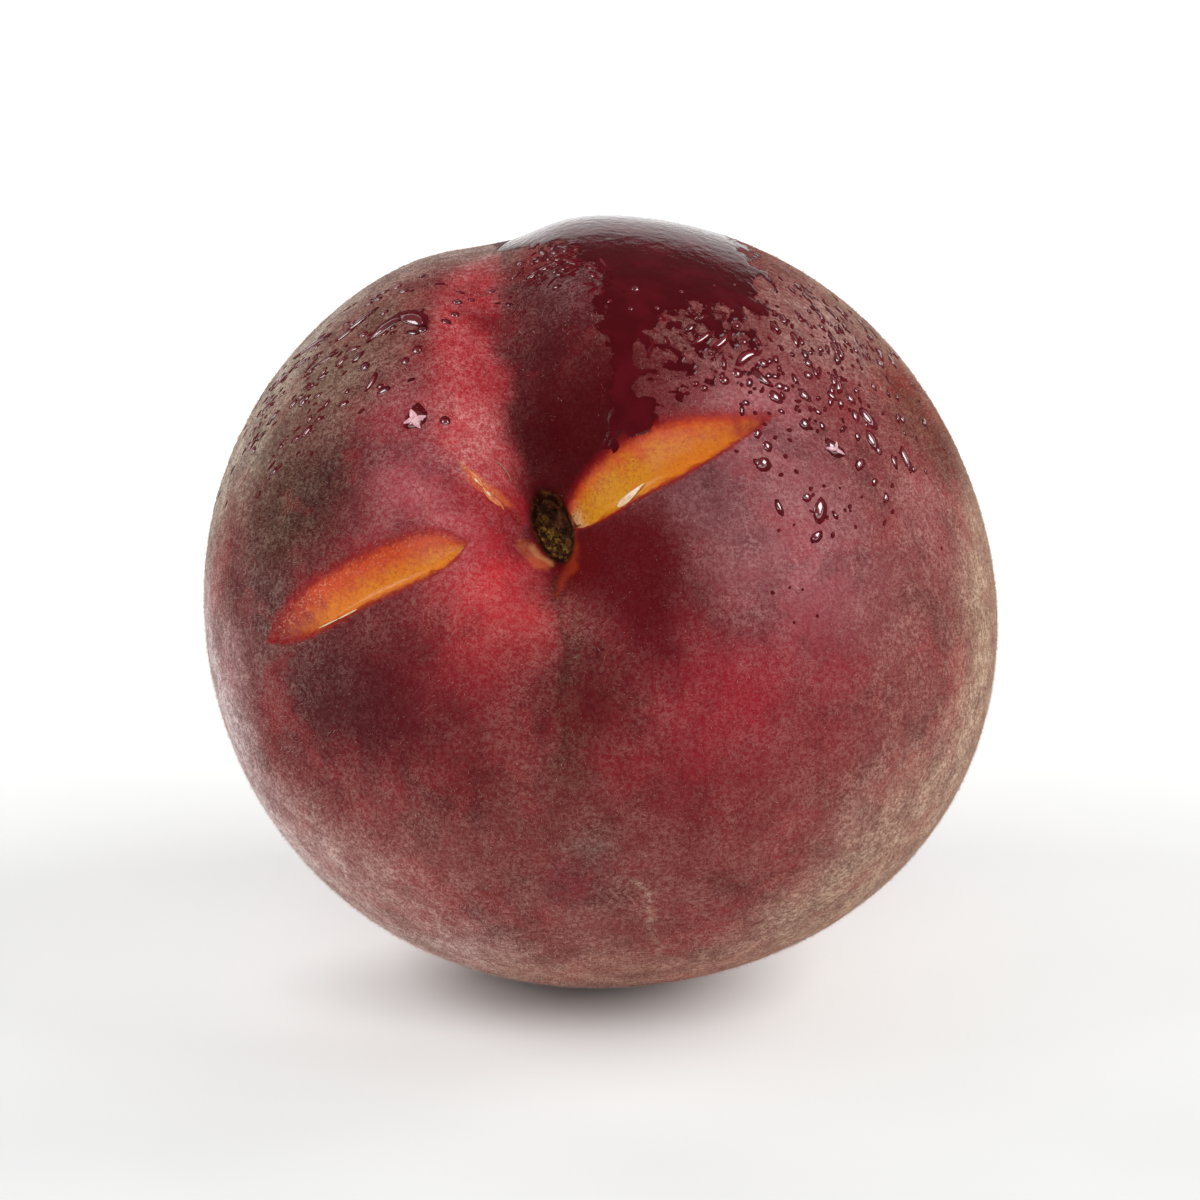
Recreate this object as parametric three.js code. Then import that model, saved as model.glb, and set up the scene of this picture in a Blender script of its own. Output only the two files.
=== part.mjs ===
// A ripe yellow-fleshed peach, as picked, lying on one cheek with its stem end tipped up.
//
// The fruit is one solid. Its skin is described in the fruit's own frame: the origin is in the
// middle of the fruit, +Z runs along the core to the stem end and +X points at the suture, the
// groove that divides the two cheeks. Every feature is a rise or a dip in the distance from the
// middle to the skin. The skin is then pressed flat where the fruit rests, and nested groups
// turn the fruit into its resting pose. Millimetres, +Z up.

import * as THREE from "three";
import { mergeVertices } from "three/addons/utils/BufferGeometryUtils.js";

const { degToRad, smoothstep } = THREE.MathUtils;

// ---- The pose ----
const ROLL_DEG = 109.5; // about the core, so that the suture points up
const TILT_DEG = 55; // from a standing core to one whose stem end is 35 degrees up
const YAW_DEG = -11; // about the vertical
const CORE_HEIGHT = 34.5; // from the surface it rests on to the middle of the fruit

// ---- The body ----
const MEAN_RADIUS = 36.6;
const STEM_END_FLATTENING = 1.9;
const BLOSSOM_END_FLATTENING = 1.8;
// Waves round the girth: one cheek is fuller, and the girth is oval and a little cornered.
const GIRTH_WAVES = [
  { lobes: 1, height: 0.88, peakDeg: 20 },
  { lobes: 2, height: 0.63, peakDeg: 55 },
  { lobes: 3, height: 0.23, peakDeg: -14 },
  { lobes: 4, height: 0.22, peakDeg: 44 },
];

// ---- The small beak at the blossom end ----
const BEAK = { height: 2.3, radius: 4.2, sharpness: 1.6 };

// ---- The funnel round the stem, and the scar that the stem left at its bottom ----
const FUNNEL = { depth: 7.4, radius: 8.8, stretchAlong: 1.25, stretchAcross: 0.95 };
// ahead and left place the scar's middle: towards the suture, and towards the left cheek.
const SCAR = {
  depth: 1.3,
  halfLength: 4.8,
  halfWidth: 2.2,
  steepness: 6,
  ahead: 0.9,
  left: 0.45,
  turnDeg: 4,
};

// ---- The suture, deepest on the shoulder, and the faint seam on the far side ----
const SUTURE = {
  depth: 0.9,
  shoulderDepth: 2.2,
  shoulderDeg: 30,
  shoulderSpreadDeg: 36,
  leftWidth: 6.4,
  rightWidth: 5.0,
  narrowing: 0.72, // share of those widths that is left beside the funnel
  lipShare: 0.08, // the cheeks swell beside the groove, by this share of its depth
  lipWidth: 2.2, // in widths of the groove
};
const BACK_SEAM = { depth: 0.35, width: 1.5, peakDeg: 25, spreadDeg: 35, bearingDeg: 172 };

// ---- Where the fruit grew against its branch: a shallow lens-shaped trough on each shoulder ----
// near and far are distances from the core, offset is towards the suture, and a higher
// bluntness keeps the lens wide nearly up to that end.
const BRANCH_MARKS = [
  {
    bearingDeg: -79.3,
    near: 0.6,
    far: 22.0,
    offset: 0.67,
    halfWidth: 2.8,
    depth: 1.1,
    nearBluntness: 5,
    farBluntness: 1.75,
  },
  {
    bearingDeg: 94,
    near: 8.8,
    far: 28.1,
    offset: 0.3,
    halfWidth: 2.2,
    depth: 0.9,
    nearBluntness: 6.4,
    farBluntness: 4,
  },
];
const LEAST_TAPER = 0.04; // keeps the lens from closing to nothing at its ends

// ---- The faceted skin ----
const FACET_DETAIL = 19; // splits each of an icosahedron's 20 faces into (detail + 1)^2
const STEM_CROWDING = 0.6; // size of the facets at the stem end against the mean
const MERGE_MM = 1e-4;
const SKIN_COLOUR = 0x7e2a32;
const SKIN_ROUGHNESS = 0.85;

const bell = (t) => Math.exp(-t * t);

// A direction from the middle of the fruit, with what the features below measure by.
function place(direction) {
  const polar = Math.acos(THREE.MathUtils.clamp(direction.z, -1, 1));
  return {
    polarDeg: THREE.MathUtils.radToDeg(polar),
    bearing: Math.atan2(direction.y, direction.x),
    level: direction.z, // 1 at the stem end, -1 at the blossom end
    spread: Math.sin(polar), // 0 on the core, 1 on the girth
    x: MEAN_RADIUS * direction.x, // distances from the core, towards the suture
    y: MEAN_RADIUS * direction.y, // and across it
  };
}

function body(at) {
  let radius = MEAN_RADIUS;
  for (const { lobes, height, peakDeg } of GIRTH_WAVES) {
    radius += height * at.spread ** lobes * Math.cos(lobes * (at.bearing - degToRad(peakDeg)));
  }
  radius -= STEM_END_FLATTENING * Math.max(at.level, 0) ** 3;
  radius -= BLOSSOM_END_FLATTENING * Math.max(-at.level, 0) ** 2;
  return radius;
}

function beak(at) {
  if (at.level > 0) return 0;
  const away = Math.hypot(at.x, at.y) / BEAK.radius;
  return BEAK.height * Math.exp(-(away ** BEAK.sharpness));
}

function funnel(at) {
  if (at.level < 0) return 0;
  const along = at.x / FUNNEL.stretchAlong;
  const across = at.y / FUNNEL.stretchAcross;
  return FUNNEL.depth * bell(Math.hypot(along, across) / FUNNEL.radius);
}

function scar(at) {
  if (at.level < 0) return 0;
  const turn = degToRad(SCAR.turnDeg);
  const ahead = at.x - SCAR.ahead;
  const left = at.y - SCAR.left;
  const along = ahead * Math.cos(turn) + left * Math.sin(turn);
  const across = left * Math.cos(turn) - ahead * Math.sin(turn);
  const away = Math.hypot(along / SCAR.halfLength, across / SCAR.halfWidth);
  return SCAR.depth * Math.exp(-(away ** SCAR.steepness));
}

function suture(at) {
  const side = smoothstep(at.x, -2, 6);
  const shoulder = bell((at.polarDeg - SUTURE.shoulderDeg) / SUTURE.shoulderSpreadDeg);
  const widening = SUTURE.narrowing + (1 - SUTURE.narrowing) * smoothstep(at.polarDeg, 25, 70);
  const across = at.y / (widening * (at.y > 0 ? SUTURE.leftWidth : SUTURE.rightWidth));
  const section = bell(across) - SUTURE.lipShare * bell(across / SUTURE.lipWidth);
  return side * (SUTURE.depth + SUTURE.shoulderDepth * shoulder) * section;
}

// Distances from the core along a bearing and square to it.
function offCore(at, bearingDeg) {
  const bearing = degToRad(bearingDeg);
  return {
    out: at.x * Math.cos(bearing) + at.y * Math.sin(bearing),
    across: at.y * Math.cos(bearing) - at.x * Math.sin(bearing),
  };
}

function backSeam(at) {
  const { out, across } = offCore(at, BACK_SEAM.bearingDeg);
  const reach = bell((at.polarDeg - BACK_SEAM.peakDeg) / BACK_SEAM.spreadDeg);
  return smoothstep(out, -1, 5) * reach * BACK_SEAM.depth * bell(across / BACK_SEAM.width);
}

// The wall on the side away from the suture is steep, and the other side slopes.
function branchMark(at, mark) {
  if (at.level < 0) return 0;
  const { out, across } = offCore(at, mark.bearingDeg);
  const up = -Math.sign(mark.bearingDeg) * across - mark.offset;
  const middle = (mark.near + mark.far) / 2;
  const along = (out - middle) / (mark.far - middle);
  const bluntness = along < 0 ? mark.nearBluntness : mark.farBluntness;
  const taper = Math.max(0, 1 - Math.abs(along) ** bluntness);
  const share = up / (mark.halfWidth * Math.max(LEAST_TAPER, taper));
  const section = smoothstep(share, -1.15, -0.55) * (1 - smoothstep(share, -0.55, 1.25));
  return mark.depth * Math.sqrt(taper) * section;
}

function skinRadius(direction) {
  const at = place(direction);
  const dips = funnel(at) + scar(at) + suture(at) + backSeam(at);
  const marks = BRANCH_MARKS.reduce((sum, mark) => sum + branchMark(at, mark), 0);
  return body(at) + beak(at) - dips - marks;
}

// Slides a direction towards the stem end, so that the facets are smaller there.
function crowd(direction) {
  const share = Math.acos(THREE.MathUtils.clamp(direction.z, -1, 1)) / Math.PI;
  const polar = Math.PI * (STEM_CROWDING * share + (1 - STEM_CROWDING) * share * share);
  const bearing = Math.atan2(direction.y, direction.x);
  return new THREE.Vector3(
    Math.sin(polar) * Math.cos(bearing),
    Math.sin(polar) * Math.sin(bearing),
    Math.cos(polar),
  );
}

function skinGeometry(up) {
  const facets = new THREE.IcosahedronGeometry(1, FACET_DETAIL);
  facets.deleteAttribute("normal");
  facets.deleteAttribute("uv");
  const skin = mergeVertices(facets, MERGE_MM);
  const points = skin.getAttribute("position");
  const point = new THREE.Vector3();
  for (let i = 0; i < points.count; i++) {
    point.fromBufferAttribute(points, i).normalize();
    const direction = crowd(point);
    point.copy(direction).multiplyScalar(skinRadius(direction));
    const height = point.dot(up) + CORE_HEIGHT;
    if (height < 0) point.addScaledVector(up, -height); // pressed flat where it rests
    points.setXYZ(i, point.x, point.y, point.z);
  }
  skin.computeVertexNormals();
  return skin;
}

function peach() {
  const fruit = new THREE.Mesh(
    new THREE.BufferGeometry(),
    new THREE.MeshStandardMaterial({
      color: SKIN_COLOUR,
      roughness: SKIN_ROUGHNESS,
      metalness: 0,
    }),
  );
  fruit.name = "peach";
  fruit.rotation.z = degToRad(ROLL_DEG);
  const tilt = new THREE.Group();
  tilt.rotation.x = degToRad(TILT_DEG);
  tilt.add(fruit);
  const yaw = new THREE.Group();
  yaw.rotation.z = degToRad(YAW_DEG);
  yaw.add(tilt);
  const part = new THREE.Group();
  part.add(yaw);
  part.updateMatrixWorld(true);

  const toFruit = fruit.getWorldQuaternion(new THREE.Quaternion()).invert();
  fruit.geometry = skinGeometry(new THREE.Vector3(0, 0, 1).applyQuaternion(toFruit));

  // The middle of the outer box stands over the origin, and the flat spot is at height 0.
  const middle = new THREE.Box3().setFromObject(part, true).getCenter(new THREE.Vector3());
  yaw.position.set(-middle.x, -middle.y, CORE_HEIGHT);
  return part;
}

export default peach();
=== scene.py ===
"""A ripe peach lying on one cheek: velvety skin, branch marks, stem scar and a wetted shoulder.

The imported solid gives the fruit's place. The finished skin is grown over it from the same form,
much finer, and is then painted, furred with short down and wetted. Lengths that describe the
fruit are in millimetres in its own frame: the origin is in the middle of the fruit, +Z runs
along the core to the stem end, and +X points at the suture.
"""

import logging
import math
from dataclasses import dataclass
from enum import Enum

import bmesh
import bpy
import numpy as np
from bpy.types import Material, Mesh, NodeSocket, Object
from mathutils import Euler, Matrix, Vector, noise


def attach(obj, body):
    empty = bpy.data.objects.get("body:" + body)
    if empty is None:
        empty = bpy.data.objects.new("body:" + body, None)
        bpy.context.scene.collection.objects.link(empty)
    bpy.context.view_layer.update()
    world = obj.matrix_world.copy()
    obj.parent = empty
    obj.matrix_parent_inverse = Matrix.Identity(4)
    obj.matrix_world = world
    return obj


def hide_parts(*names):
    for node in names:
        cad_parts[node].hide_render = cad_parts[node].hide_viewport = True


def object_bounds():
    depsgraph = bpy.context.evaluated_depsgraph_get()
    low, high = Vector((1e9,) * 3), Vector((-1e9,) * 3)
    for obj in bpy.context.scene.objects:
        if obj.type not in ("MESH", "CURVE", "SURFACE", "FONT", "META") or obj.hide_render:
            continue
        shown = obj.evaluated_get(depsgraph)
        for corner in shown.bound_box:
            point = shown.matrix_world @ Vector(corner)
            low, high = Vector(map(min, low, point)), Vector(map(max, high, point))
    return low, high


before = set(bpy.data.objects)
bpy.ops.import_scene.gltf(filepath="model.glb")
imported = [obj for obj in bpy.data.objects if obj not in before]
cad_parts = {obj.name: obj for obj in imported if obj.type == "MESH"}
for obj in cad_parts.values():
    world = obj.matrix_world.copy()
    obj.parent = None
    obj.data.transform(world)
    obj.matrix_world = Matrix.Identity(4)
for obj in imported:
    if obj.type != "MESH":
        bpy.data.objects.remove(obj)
CAD_LOW, CAD_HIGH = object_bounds()

Array = np.ndarray
LOG = logging.getLogger("peach")
NODE = "peach"
BODY = "root"
MEAN_RADIUS = 36.6  # millimetres, of the fruit
OUTSIDE = -9.0  # millimetres, stands for a place well outside a film or a mark
WANDER_SEED = 177
MM = 0.001


# ---------------------------------------------------------------------------------------------
# Small sums
# ---------------------------------------------------------------------------------------------


def bell(t: Array) -> Array:
    """A smooth hump, 1 at 0 and near 0 past 2."""
    return np.exp(-t * t)


def smoothstep(x: Array, low: float, high: float) -> Array:
    """Rises smoothly from 0 at low to 1 at high."""
    t = np.clip((x - low) / (high - low), 0, 1)
    return t * t * (3 - 2 * t)


def toward(polar_deg: float, bearing_deg: float) -> Array:
    """The direction at an angle from the core and a bearing from the suture.

    Args:
        polar_deg: The angle from the core, at the stem end.
        bearing_deg: Round the core, positive on the left cheek.

    Returns:
        A unit vector in the fruit's frame.
    """
    polar, bearing = math.radians(polar_deg), math.radians(bearing_deg)
    across = math.sin(polar)
    return np.array([across * math.cos(bearing), across * math.sin(bearing), math.cos(polar)])


def unit(vectors: Array) -> Array:
    """Each row at length 1."""
    return vectors / np.linalg.norm(vectors, axis=-1, keepdims=True)


def linear(hex_colour: str) -> tuple[float, float, float, float]:
    """A colour such as "7e2a32", as shown on a screen, in the renderer's own linear values.

    Args:
        hex_colour: Red, green and blue, two digits each.

    Returns:
        The same three in linear values, and 1.
    """
    shown = [int(hex_colour[i : i + 2], 16) / 255 for i in (0, 2, 4)]
    red, green, blue = (v / 12.92 if v <= 0.04045 else ((v + 0.055) / 1.055) ** 2.4 for v in shown)
    return (red, green, blue, 1.0)


def turbulence(points: Array, scale: float, octaves: int, seed: float) -> Array:
    """Fractal noise about 0 at each point.

    Args:
        points: Places, one a row.
        scale: Lumps per unit of length.
        octaves: How many finer layers are added.
        seed: Moves the pattern.

    Returns:
        One value a point, from about -1 to 1.
    """
    shift = Vector((seed, -seed, 0.5 * seed))
    basis = "PERLIN_ORIGINAL"
    return np.array(
        [
            noise.fractal(Vector(p) * scale + shift, 0.7, 2.0, octaves, noise_basis=basis)
            for p in points
        ]
    )


def wander(points: Array, scale: float, octaves: int, seed: float) -> Array:
    """Fractal shifts about 0 at each point, which make an even outline stray.

    Args:
        points: Places, one a row.
        scale: Lumps per unit of length.
        octaves: How many finer layers are added.
        seed: Moves the pattern.

    Returns:
        One vector a point, each of its numbers from about -1 to 1.
    """
    noise.seed_set(WANDER_SEED)  # else it starts from the clock
    shift = Vector((seed, 2 * seed, -seed))
    total = np.zeros((len(points), 3))
    for layer in range(octaves):
        finer = scale * 2**layer
        total += [noise.noise_vector(Vector(p) * finer + shift) / 2**layer for p in points]
    return total


# ---------------------------------------------------------------------------------------------
# The fruit's form
# ---------------------------------------------------------------------------------------------


@dataclass(frozen=True)
class Pose:
    """How the fruit lies: rolled about its core, tipped, turned, and pressed on the surface."""

    roll_deg: float = 109.5
    tilt_deg: float = 55.0
    yaw_deg: float = -11.0
    core_height: float = 34.5

    def turn(self) -> Array:
        """The matrix that turns the fruit's frame into the row's.

        Returns:
            A 3 by 3 matrix.
        """
        roll = Euler((0, 0, math.radians(self.roll_deg))).to_matrix()
        tilt = Euler((math.radians(self.tilt_deg), 0, 0)).to_matrix()
        yaw = Euler((0, 0, math.radians(self.yaw_deg))).to_matrix()
        return np.array(yaw @ tilt @ roll)


@dataclass(frozen=True)
class GirthWave:
    """A wave round the girth, which makes it oval or cornered."""

    lobes: int
    height: float
    peak_deg: float


@dataclass(frozen=True)
class BranchMark:
    """A shallow lens-shaped trough where the shoulder grew against its branch.

    A higher bluntness keeps the lens wide nearly up to that end. redness spreads the blush from
    its upper edge, and colour_start is where in the run of colours its near end begins.
    """

    bearing_deg: float
    near: float
    far: float
    offset: float
    half_width: float
    depth: float
    near_bluntness: float
    far_bluntness: float
    redness: float
    colour_start: float

    def along(self, x: Array, y: Array) -> Array:
        """-1 at the end beside the core, 0 in the middle, 1 at the far end.

        Args:
            x: Distances from the core towards the suture.
            y: Distances across it, to the left.

        Returns:
            One value a place.
        """
        bearing = math.radians(self.bearing_deg)
        out = x * math.cos(bearing) + y * math.sin(bearing)
        middle = (self.near + self.far) / 2
        return (out - middle) / (self.far - middle)

    def across(self, x: Array, y: Array) -> Array:
        """Distance from the mark's middle line, positive towards the suture.

        Args:
            x: Distances from the core towards the suture.
            y: Distances across it, to the left.

        Returns:
            Millimetres, one value a place.
        """
        bearing = math.radians(self.bearing_deg)
        side = math.copysign(1, math.sin(bearing))
        return side * (x * math.sin(bearing) - y * math.cos(bearing)) - self.offset

    def taper(self, x: Array, y: Array) -> Array:
        """The lens's width as a share of the widest: 1 in the middle and 0 at its ends.

        Args:
            x: Distances from the core towards the suture.
            y: Distances across it, to the left.

        Returns:
            One share a place.
        """
        along = self.along(x, y)
        power = np.where(along < 0, self.near_bluntness, self.far_bluntness)
        return np.maximum(0, 1 - np.abs(along) ** power)

    def share(self, x: Array, y: Array) -> Array:
        """-1 on the lower edge of the lens and 1 on its upper edge."""
        return self.across(x, y) / (self.half_width * np.maximum(0.04, self.taper(x, y)))

    def dip(self, x: Array, y: Array) -> Array:
        """How far the skin is pressed in: a steep wall below and a gentle slope above.

        Args:
            x: Distances from the core towards the suture.
            y: Distances across it, to the left.

        Returns:
            Millimetres, one value a place.
        """
        share = self.share(x, y)
        section = smoothstep(share, -1.15, -0.55) * (1 - smoothstep(share, -0.55, 1.25))
        return self.depth * np.sqrt(self.taper(x, y)) * section


class Places:
    """Directions from the middle of the fruit, with what its features are measured by."""

    def __init__(self, directions: Array, mean_radius: float) -> None:
        """Measures the directions.

        Args:
            directions: Unit vectors in the fruit's frame, one a row.
            mean_radius: Turns them into distances from the core.
        """
        self.directions = directions
        self.level = directions[:, 2]
        self.polar = np.arccos(np.clip(self.level, -1, 1))
        self.polar_deg = np.degrees(self.polar)
        self.bearing = np.arctan2(directions[:, 1], directions[:, 0])
        self.spread = np.sin(self.polar)
        self.x = mean_radius * directions[:, 0]
        self.y = mean_radius * directions[:, 1]
        self.stem_side = self.level >= 0


@dataclass(frozen=True)
class PeachForm:
    """The distance from the middle of the fruit to its skin, in every direction."""

    mean_radius: float = MEAN_RADIUS
    stem_end_flattening: float = 1.9
    blossom_end_flattening: float = 1.8
    girth_waves: tuple[GirthWave, ...] = (
        GirthWave(lobes=1, height=0.88, peak_deg=20),
        GirthWave(lobes=2, height=0.63, peak_deg=55),
        GirthWave(lobes=3, height=0.23, peak_deg=-14),
        GirthWave(lobes=4, height=0.22, peak_deg=44),
    )
    beak_height: float = 2.3
    beak_radius: float = 4.2
    beak_sharpness: float = 1.6
    funnel_depth: float = 7.4
    funnel_radius: float = 8.8
    funnel_along: float = 1.25
    funnel_across: float = 0.95
    scar_depth: float = 1.3
    scar_half_length: float = 4.8
    scar_half_width: float = 2.2
    scar_steepness: float = 6
    scar_ahead: float = 0.9
    scar_left: float = 0.45
    scar_turn_deg: float = 4
    suture_depth: float = 0.9
    suture_shoulder_depth: float = 2.2
    suture_shoulder_deg: float = 30
    suture_spread_deg: float = 36
    suture_left_width: float = 6.4
    suture_right_width: float = 5.0
    suture_narrowing: float = 0.72
    suture_lip_share: float = 0.08
    suture_lip_width: float = 2.2
    seam_depth: float = 0.35
    seam_width: float = 1.5
    seam_peak_deg: float = 25
    seam_spread_deg: float = 35
    seam_bearing_deg: float = 172
    marks: tuple[BranchMark, ...] = (
        BranchMark(
            bearing_deg=-79.3,
            near=0.6,
            far=22.0,
            offset=0.67,
            half_width=2.8,
            depth=1.1,
            near_bluntness=5,
            far_bluntness=1.75,
            redness=0.1,
            colour_start=-1.0,
        ),
        BranchMark(
            bearing_deg=94,
            near=8.8,
            far=28.1,
            offset=0.3,
            half_width=2.2,
            depth=0.9,
            near_bluntness=6.4,
            far_bluntness=4,
            redness=0.55,
            colour_start=0.05,
        ),
    )

    def places(self, directions: Array) -> Places:
        """The same directions with their angles and distances."""
        return Places(directions, self.mean_radius)

    def body(self, at: Places) -> Array:
        """The round body with its waves and flattened ends.

        Args:
            at: Directions.

        Returns:
            Distances from the middle in millimetres.
        """
        radius = np.full(at.polar.shape, self.mean_radius)
        for wave in self.girth_waves:
            turned = wave.lobes * (at.bearing - math.radians(wave.peak_deg))
            radius += wave.height * at.spread**wave.lobes * np.cos(turned)
        radius -= self.stem_end_flattening * np.maximum(at.level, 0) ** 3
        return radius - self.blossom_end_flattening * np.maximum(-at.level, 0) ** 2

    def beak(self, at: Places) -> Array:
        """The small point at the blossom end."""
        away = np.hypot(at.x, at.y) / self.beak_radius
        return np.where(at.stem_side, 0, self.beak_height * np.exp(-(away**self.beak_sharpness)))

    def funnel(self, at: Places) -> Array:
        """The hollow round the stem."""
        away = np.hypot(at.x / self.funnel_along, at.y / self.funnel_across)
        return np.where(at.stem_side, self.funnel_depth * bell(away / self.funnel_radius), 0)

    def scar_share(self, at: Places) -> Array:
        """0 in the middle of the stem's scar, 1 on its rim.

        Args:
            at: Directions.

        Returns:
            One share a direction, large on the blossom side.
        """
        turn = math.radians(self.scar_turn_deg)
        ahead, left = at.x - self.scar_ahead, at.y - self.scar_left
        along = ahead * math.cos(turn) + left * math.sin(turn)
        across = left * math.cos(turn) - ahead * math.sin(turn)
        away = np.hypot(along / self.scar_half_length, across / self.scar_half_width)
        return np.where(at.stem_side, away, 99)

    def scar(self, at: Places) -> Array:
        """The pit that the stem left."""
        return self.scar_depth * np.exp(-np.minimum(self.scar_share(at), 3) ** self.scar_steepness)

    def suture_share(self, at: Places) -> Array:
        """How far across the suture a place is, in widths of the groove, positive to the left.

        Args:
            at: Directions.

        Returns:
            One value a direction.
        """
        grown = smoothstep(at.polar_deg, 25, 70)
        widening = self.suture_narrowing + (1 - self.suture_narrowing) * grown
        width = np.where(at.y > 0, self.suture_left_width, self.suture_right_width)
        return at.y / (widening * width)

    def suture(self, at: Places) -> Array:
        """The groove between the cheeks, deepest on the shoulder.

        Args:
            at: Directions.

        Returns:
            Its depth in millimetres, negative on its lips.
        """
        side = smoothstep(at.x, -2, 6)
        shoulder = bell((at.polar_deg - self.suture_shoulder_deg) / self.suture_spread_deg)
        share = self.suture_share(at)
        section = bell(share) - self.suture_lip_share * bell(share / self.suture_lip_width)
        return side * (self.suture_depth + self.suture_shoulder_depth * shoulder) * section

    def back_seam(self, at: Places) -> Array:
        """The faint seam opposite the suture.

        Args:
            at: Directions.

        Returns:
            Its depth in millimetres.
        """
        bearing = math.radians(self.seam_bearing_deg)
        out = at.x * math.cos(bearing) + at.y * math.sin(bearing)
        across = at.y * math.cos(bearing) - at.x * math.sin(bearing)
        reach = bell((at.polar_deg - self.seam_peak_deg) / self.seam_spread_deg)
        return smoothstep(out, -1, 5) * reach * self.seam_depth * bell(across / self.seam_width)

    def radius(self, at: Places) -> Array:
        """The distance to the skin, with every feature.

        Args:
            at: Directions.

        Returns:
            Distances from the middle in millimetres.
        """
        dips = self.funnel(at) + self.scar(at) + self.suture(at) + self.back_seam(at)
        for mark in self.marks:
            dips += np.where(at.stem_side, mark.dip(at.x, at.y), 0)
        return self.body(at) + self.beak(at) - dips


class Fruit:
    """The fruit's skin as a surface in the row frame."""

    RINGS = 181
    MERIDIANS = 360
    STEP = 0.002  # radians either side of a place, to find how the skin slopes there
    TINY = 1e-14  # square metres, where those steps span no area

    def __init__(self, form: PeachForm, pose: Pose, low: Vector, high: Vector) -> None:
        """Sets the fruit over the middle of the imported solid's box.

        Args:
            form: Distances from the middle to the skin.
            pose: How the fruit lies.
            low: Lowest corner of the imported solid, in metres.
            high: Its highest corner.
        """
        self.form = form
        self.pose = pose
        self.turn = pose.turn()
        self.middle = np.zeros(3)
        rings = np.linspace(0, math.pi, self.RINGS)
        bearings = np.linspace(0, 2 * math.pi, self.MERIDIANS, endpoint=False)
        polar, bearing = (a.ravel() for a in np.meshgrid(rings, bearings, indexing="ij"))
        around = np.stack([np.cos(bearing), np.sin(bearing)], -1) * np.sin(polar)[:, None]
        found = self.points(np.column_stack([around, np.cos(polar)]))
        drift = (np.array(low) + np.array(high) - found.min(0) - found.max(0)) / 2
        self.middle = np.array([drift[0], drift[1], 0.0])

    def points(self, directions: Array, lift: Array | float = 0.0) -> Array:
        """Where the skin is, in metres.

        Args:
            directions: Unit vectors in the fruit's frame, one a row.
            lift: Millimetres above the skin, one value or one a row.

        Returns:
            Places in the row frame, no lower than the surface that the fruit lies on.
        """
        radius = self.form.radius(self.form.places(directions)) + lift
        turned = (directions * radius[:, None]) @ self.turn.T
        turned[:, 2] = np.maximum(turned[:, 2] + self.pose.core_height, 0)
        return turned * MM + self.middle

    def tangents(self, directions: Array) -> tuple[Array, Array]:
        """Two directions square to each given one: away from the stem, and round the core.

        Args:
            directions: Unit vectors in the fruit's frame, one a row.

        Returns:
            The two, one a row each.
        """
        core = np.array([0.0, 0.0, 1.0])
        round_core = np.cross(core, directions)
        small = np.linalg.norm(round_core, axis=1) < 1e-6
        round_core[small] = [0.0, 1.0, 0.0]
        round_core = unit(round_core)
        return np.cross(round_core, directions), round_core

    def frames(self, directions: Array) -> tuple[Array, Array, Array]:
        """The skin's own axes at each place, in the row frame.

        Args:
            directions: Unit vectors in the fruit's frame, one a row.

        Returns:
            Along the skin away from the stem, along it round the core, and straight out.
        """
        down, around = self.tangents(directions)
        steps = []
        for side in (down, around):
            ahead = self.points(unit(directions + self.STEP * side))
            behind = self.points(unit(directions - self.STEP * side))
            steps.append(ahead - behind)
        flat = np.linalg.norm(steps[0], axis=1) * np.linalg.norm(steps[1], axis=1) < self.TINY
        out = np.cross(steps[0], steps[1])
        out[flat] = directions[flat] @ self.turn.T
        out = unit(out)
        along = unit(steps[0] - out * np.sum(steps[0] * out, axis=1, keepdims=True))
        return along, np.cross(out, along), out


# ---------------------------------------------------------------------------------------------
# What lies on the skin: paint, water and down
# ---------------------------------------------------------------------------------------------


@dataclass(frozen=True)
class Spot:
    """An oval place on the skin with a soft edge.

    Its length runs away from the stem, turned by turn_deg towards the left cheek.
    """

    polar_deg: float
    bearing_deg: float
    spread: float
    stretch: float = 1.0
    turn_deg: float = 0.0

    def distance(self, at: Places) -> Array:
        """Degrees of arc from the middle, shortened along the oval's length.

        Args:
            at: Places on the skin.

        Returns:
            One value a place.
        """
        centre = toward(self.polar_deg, self.bearing_deg)
        around = unit(np.array([-centre[1], centre[0], 0.0]) + 1e-9)
        down = np.cross(around, centre)
        arc = np.degrees(np.arccos(np.clip(at.directions @ centre, -1, 1)))
        u, v = at.directions @ down, at.directions @ around
        scale = arc / np.maximum(np.hypot(u, v), 1e-9)
        turn = math.radians(self.turn_deg)
        length = (u * math.cos(turn) + v * math.sin(turn)) * scale
        width = (v * math.cos(turn) - u * math.sin(turn)) * scale
        return np.hypot(length / self.stretch, width)

    def weight(self, at: Places) -> Array:
        """1 in the middle, fading smoothly to 0."""
        return bell(self.distance(at) / self.spread)

    def within(self, at: Places, edge: float) -> Array:
        """1 inside the oval and 0 outside, its edge spread over that share of its size."""
        return 1 - smoothstep(self.distance(at) / self.spread, 1 - edge, 1 + edge)


@dataclass(frozen=True)
class Patch:
    """A part of the skin: its own colour, and the tint and cover of the down over it.

    Its edge is the share of its size that the edge is spread over, or 0 for a patch that fades
    all the way from its middle.
    """

    spot: Spot
    skin: str
    down: str
    cover: float
    strength: float = 0.9
    edge: float = 0.0

    def share(self, at: Places) -> Array:
        """How far each place belongs to it."""
        held = self.spot.within(at, self.edge) if self.edge else self.spot.weight(at)
        return self.strength * held


@dataclass(frozen=True)
class Bend:
    """One point of a streak, and how many degrees of arc it reaches to its left and right."""

    polar_deg: float
    bearing_deg: float
    left: float
    right: float

    def direction(self) -> Array:
        """Where it is, from the middle of the fruit."""
        return toward(self.polar_deg, self.bearing_deg)


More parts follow.
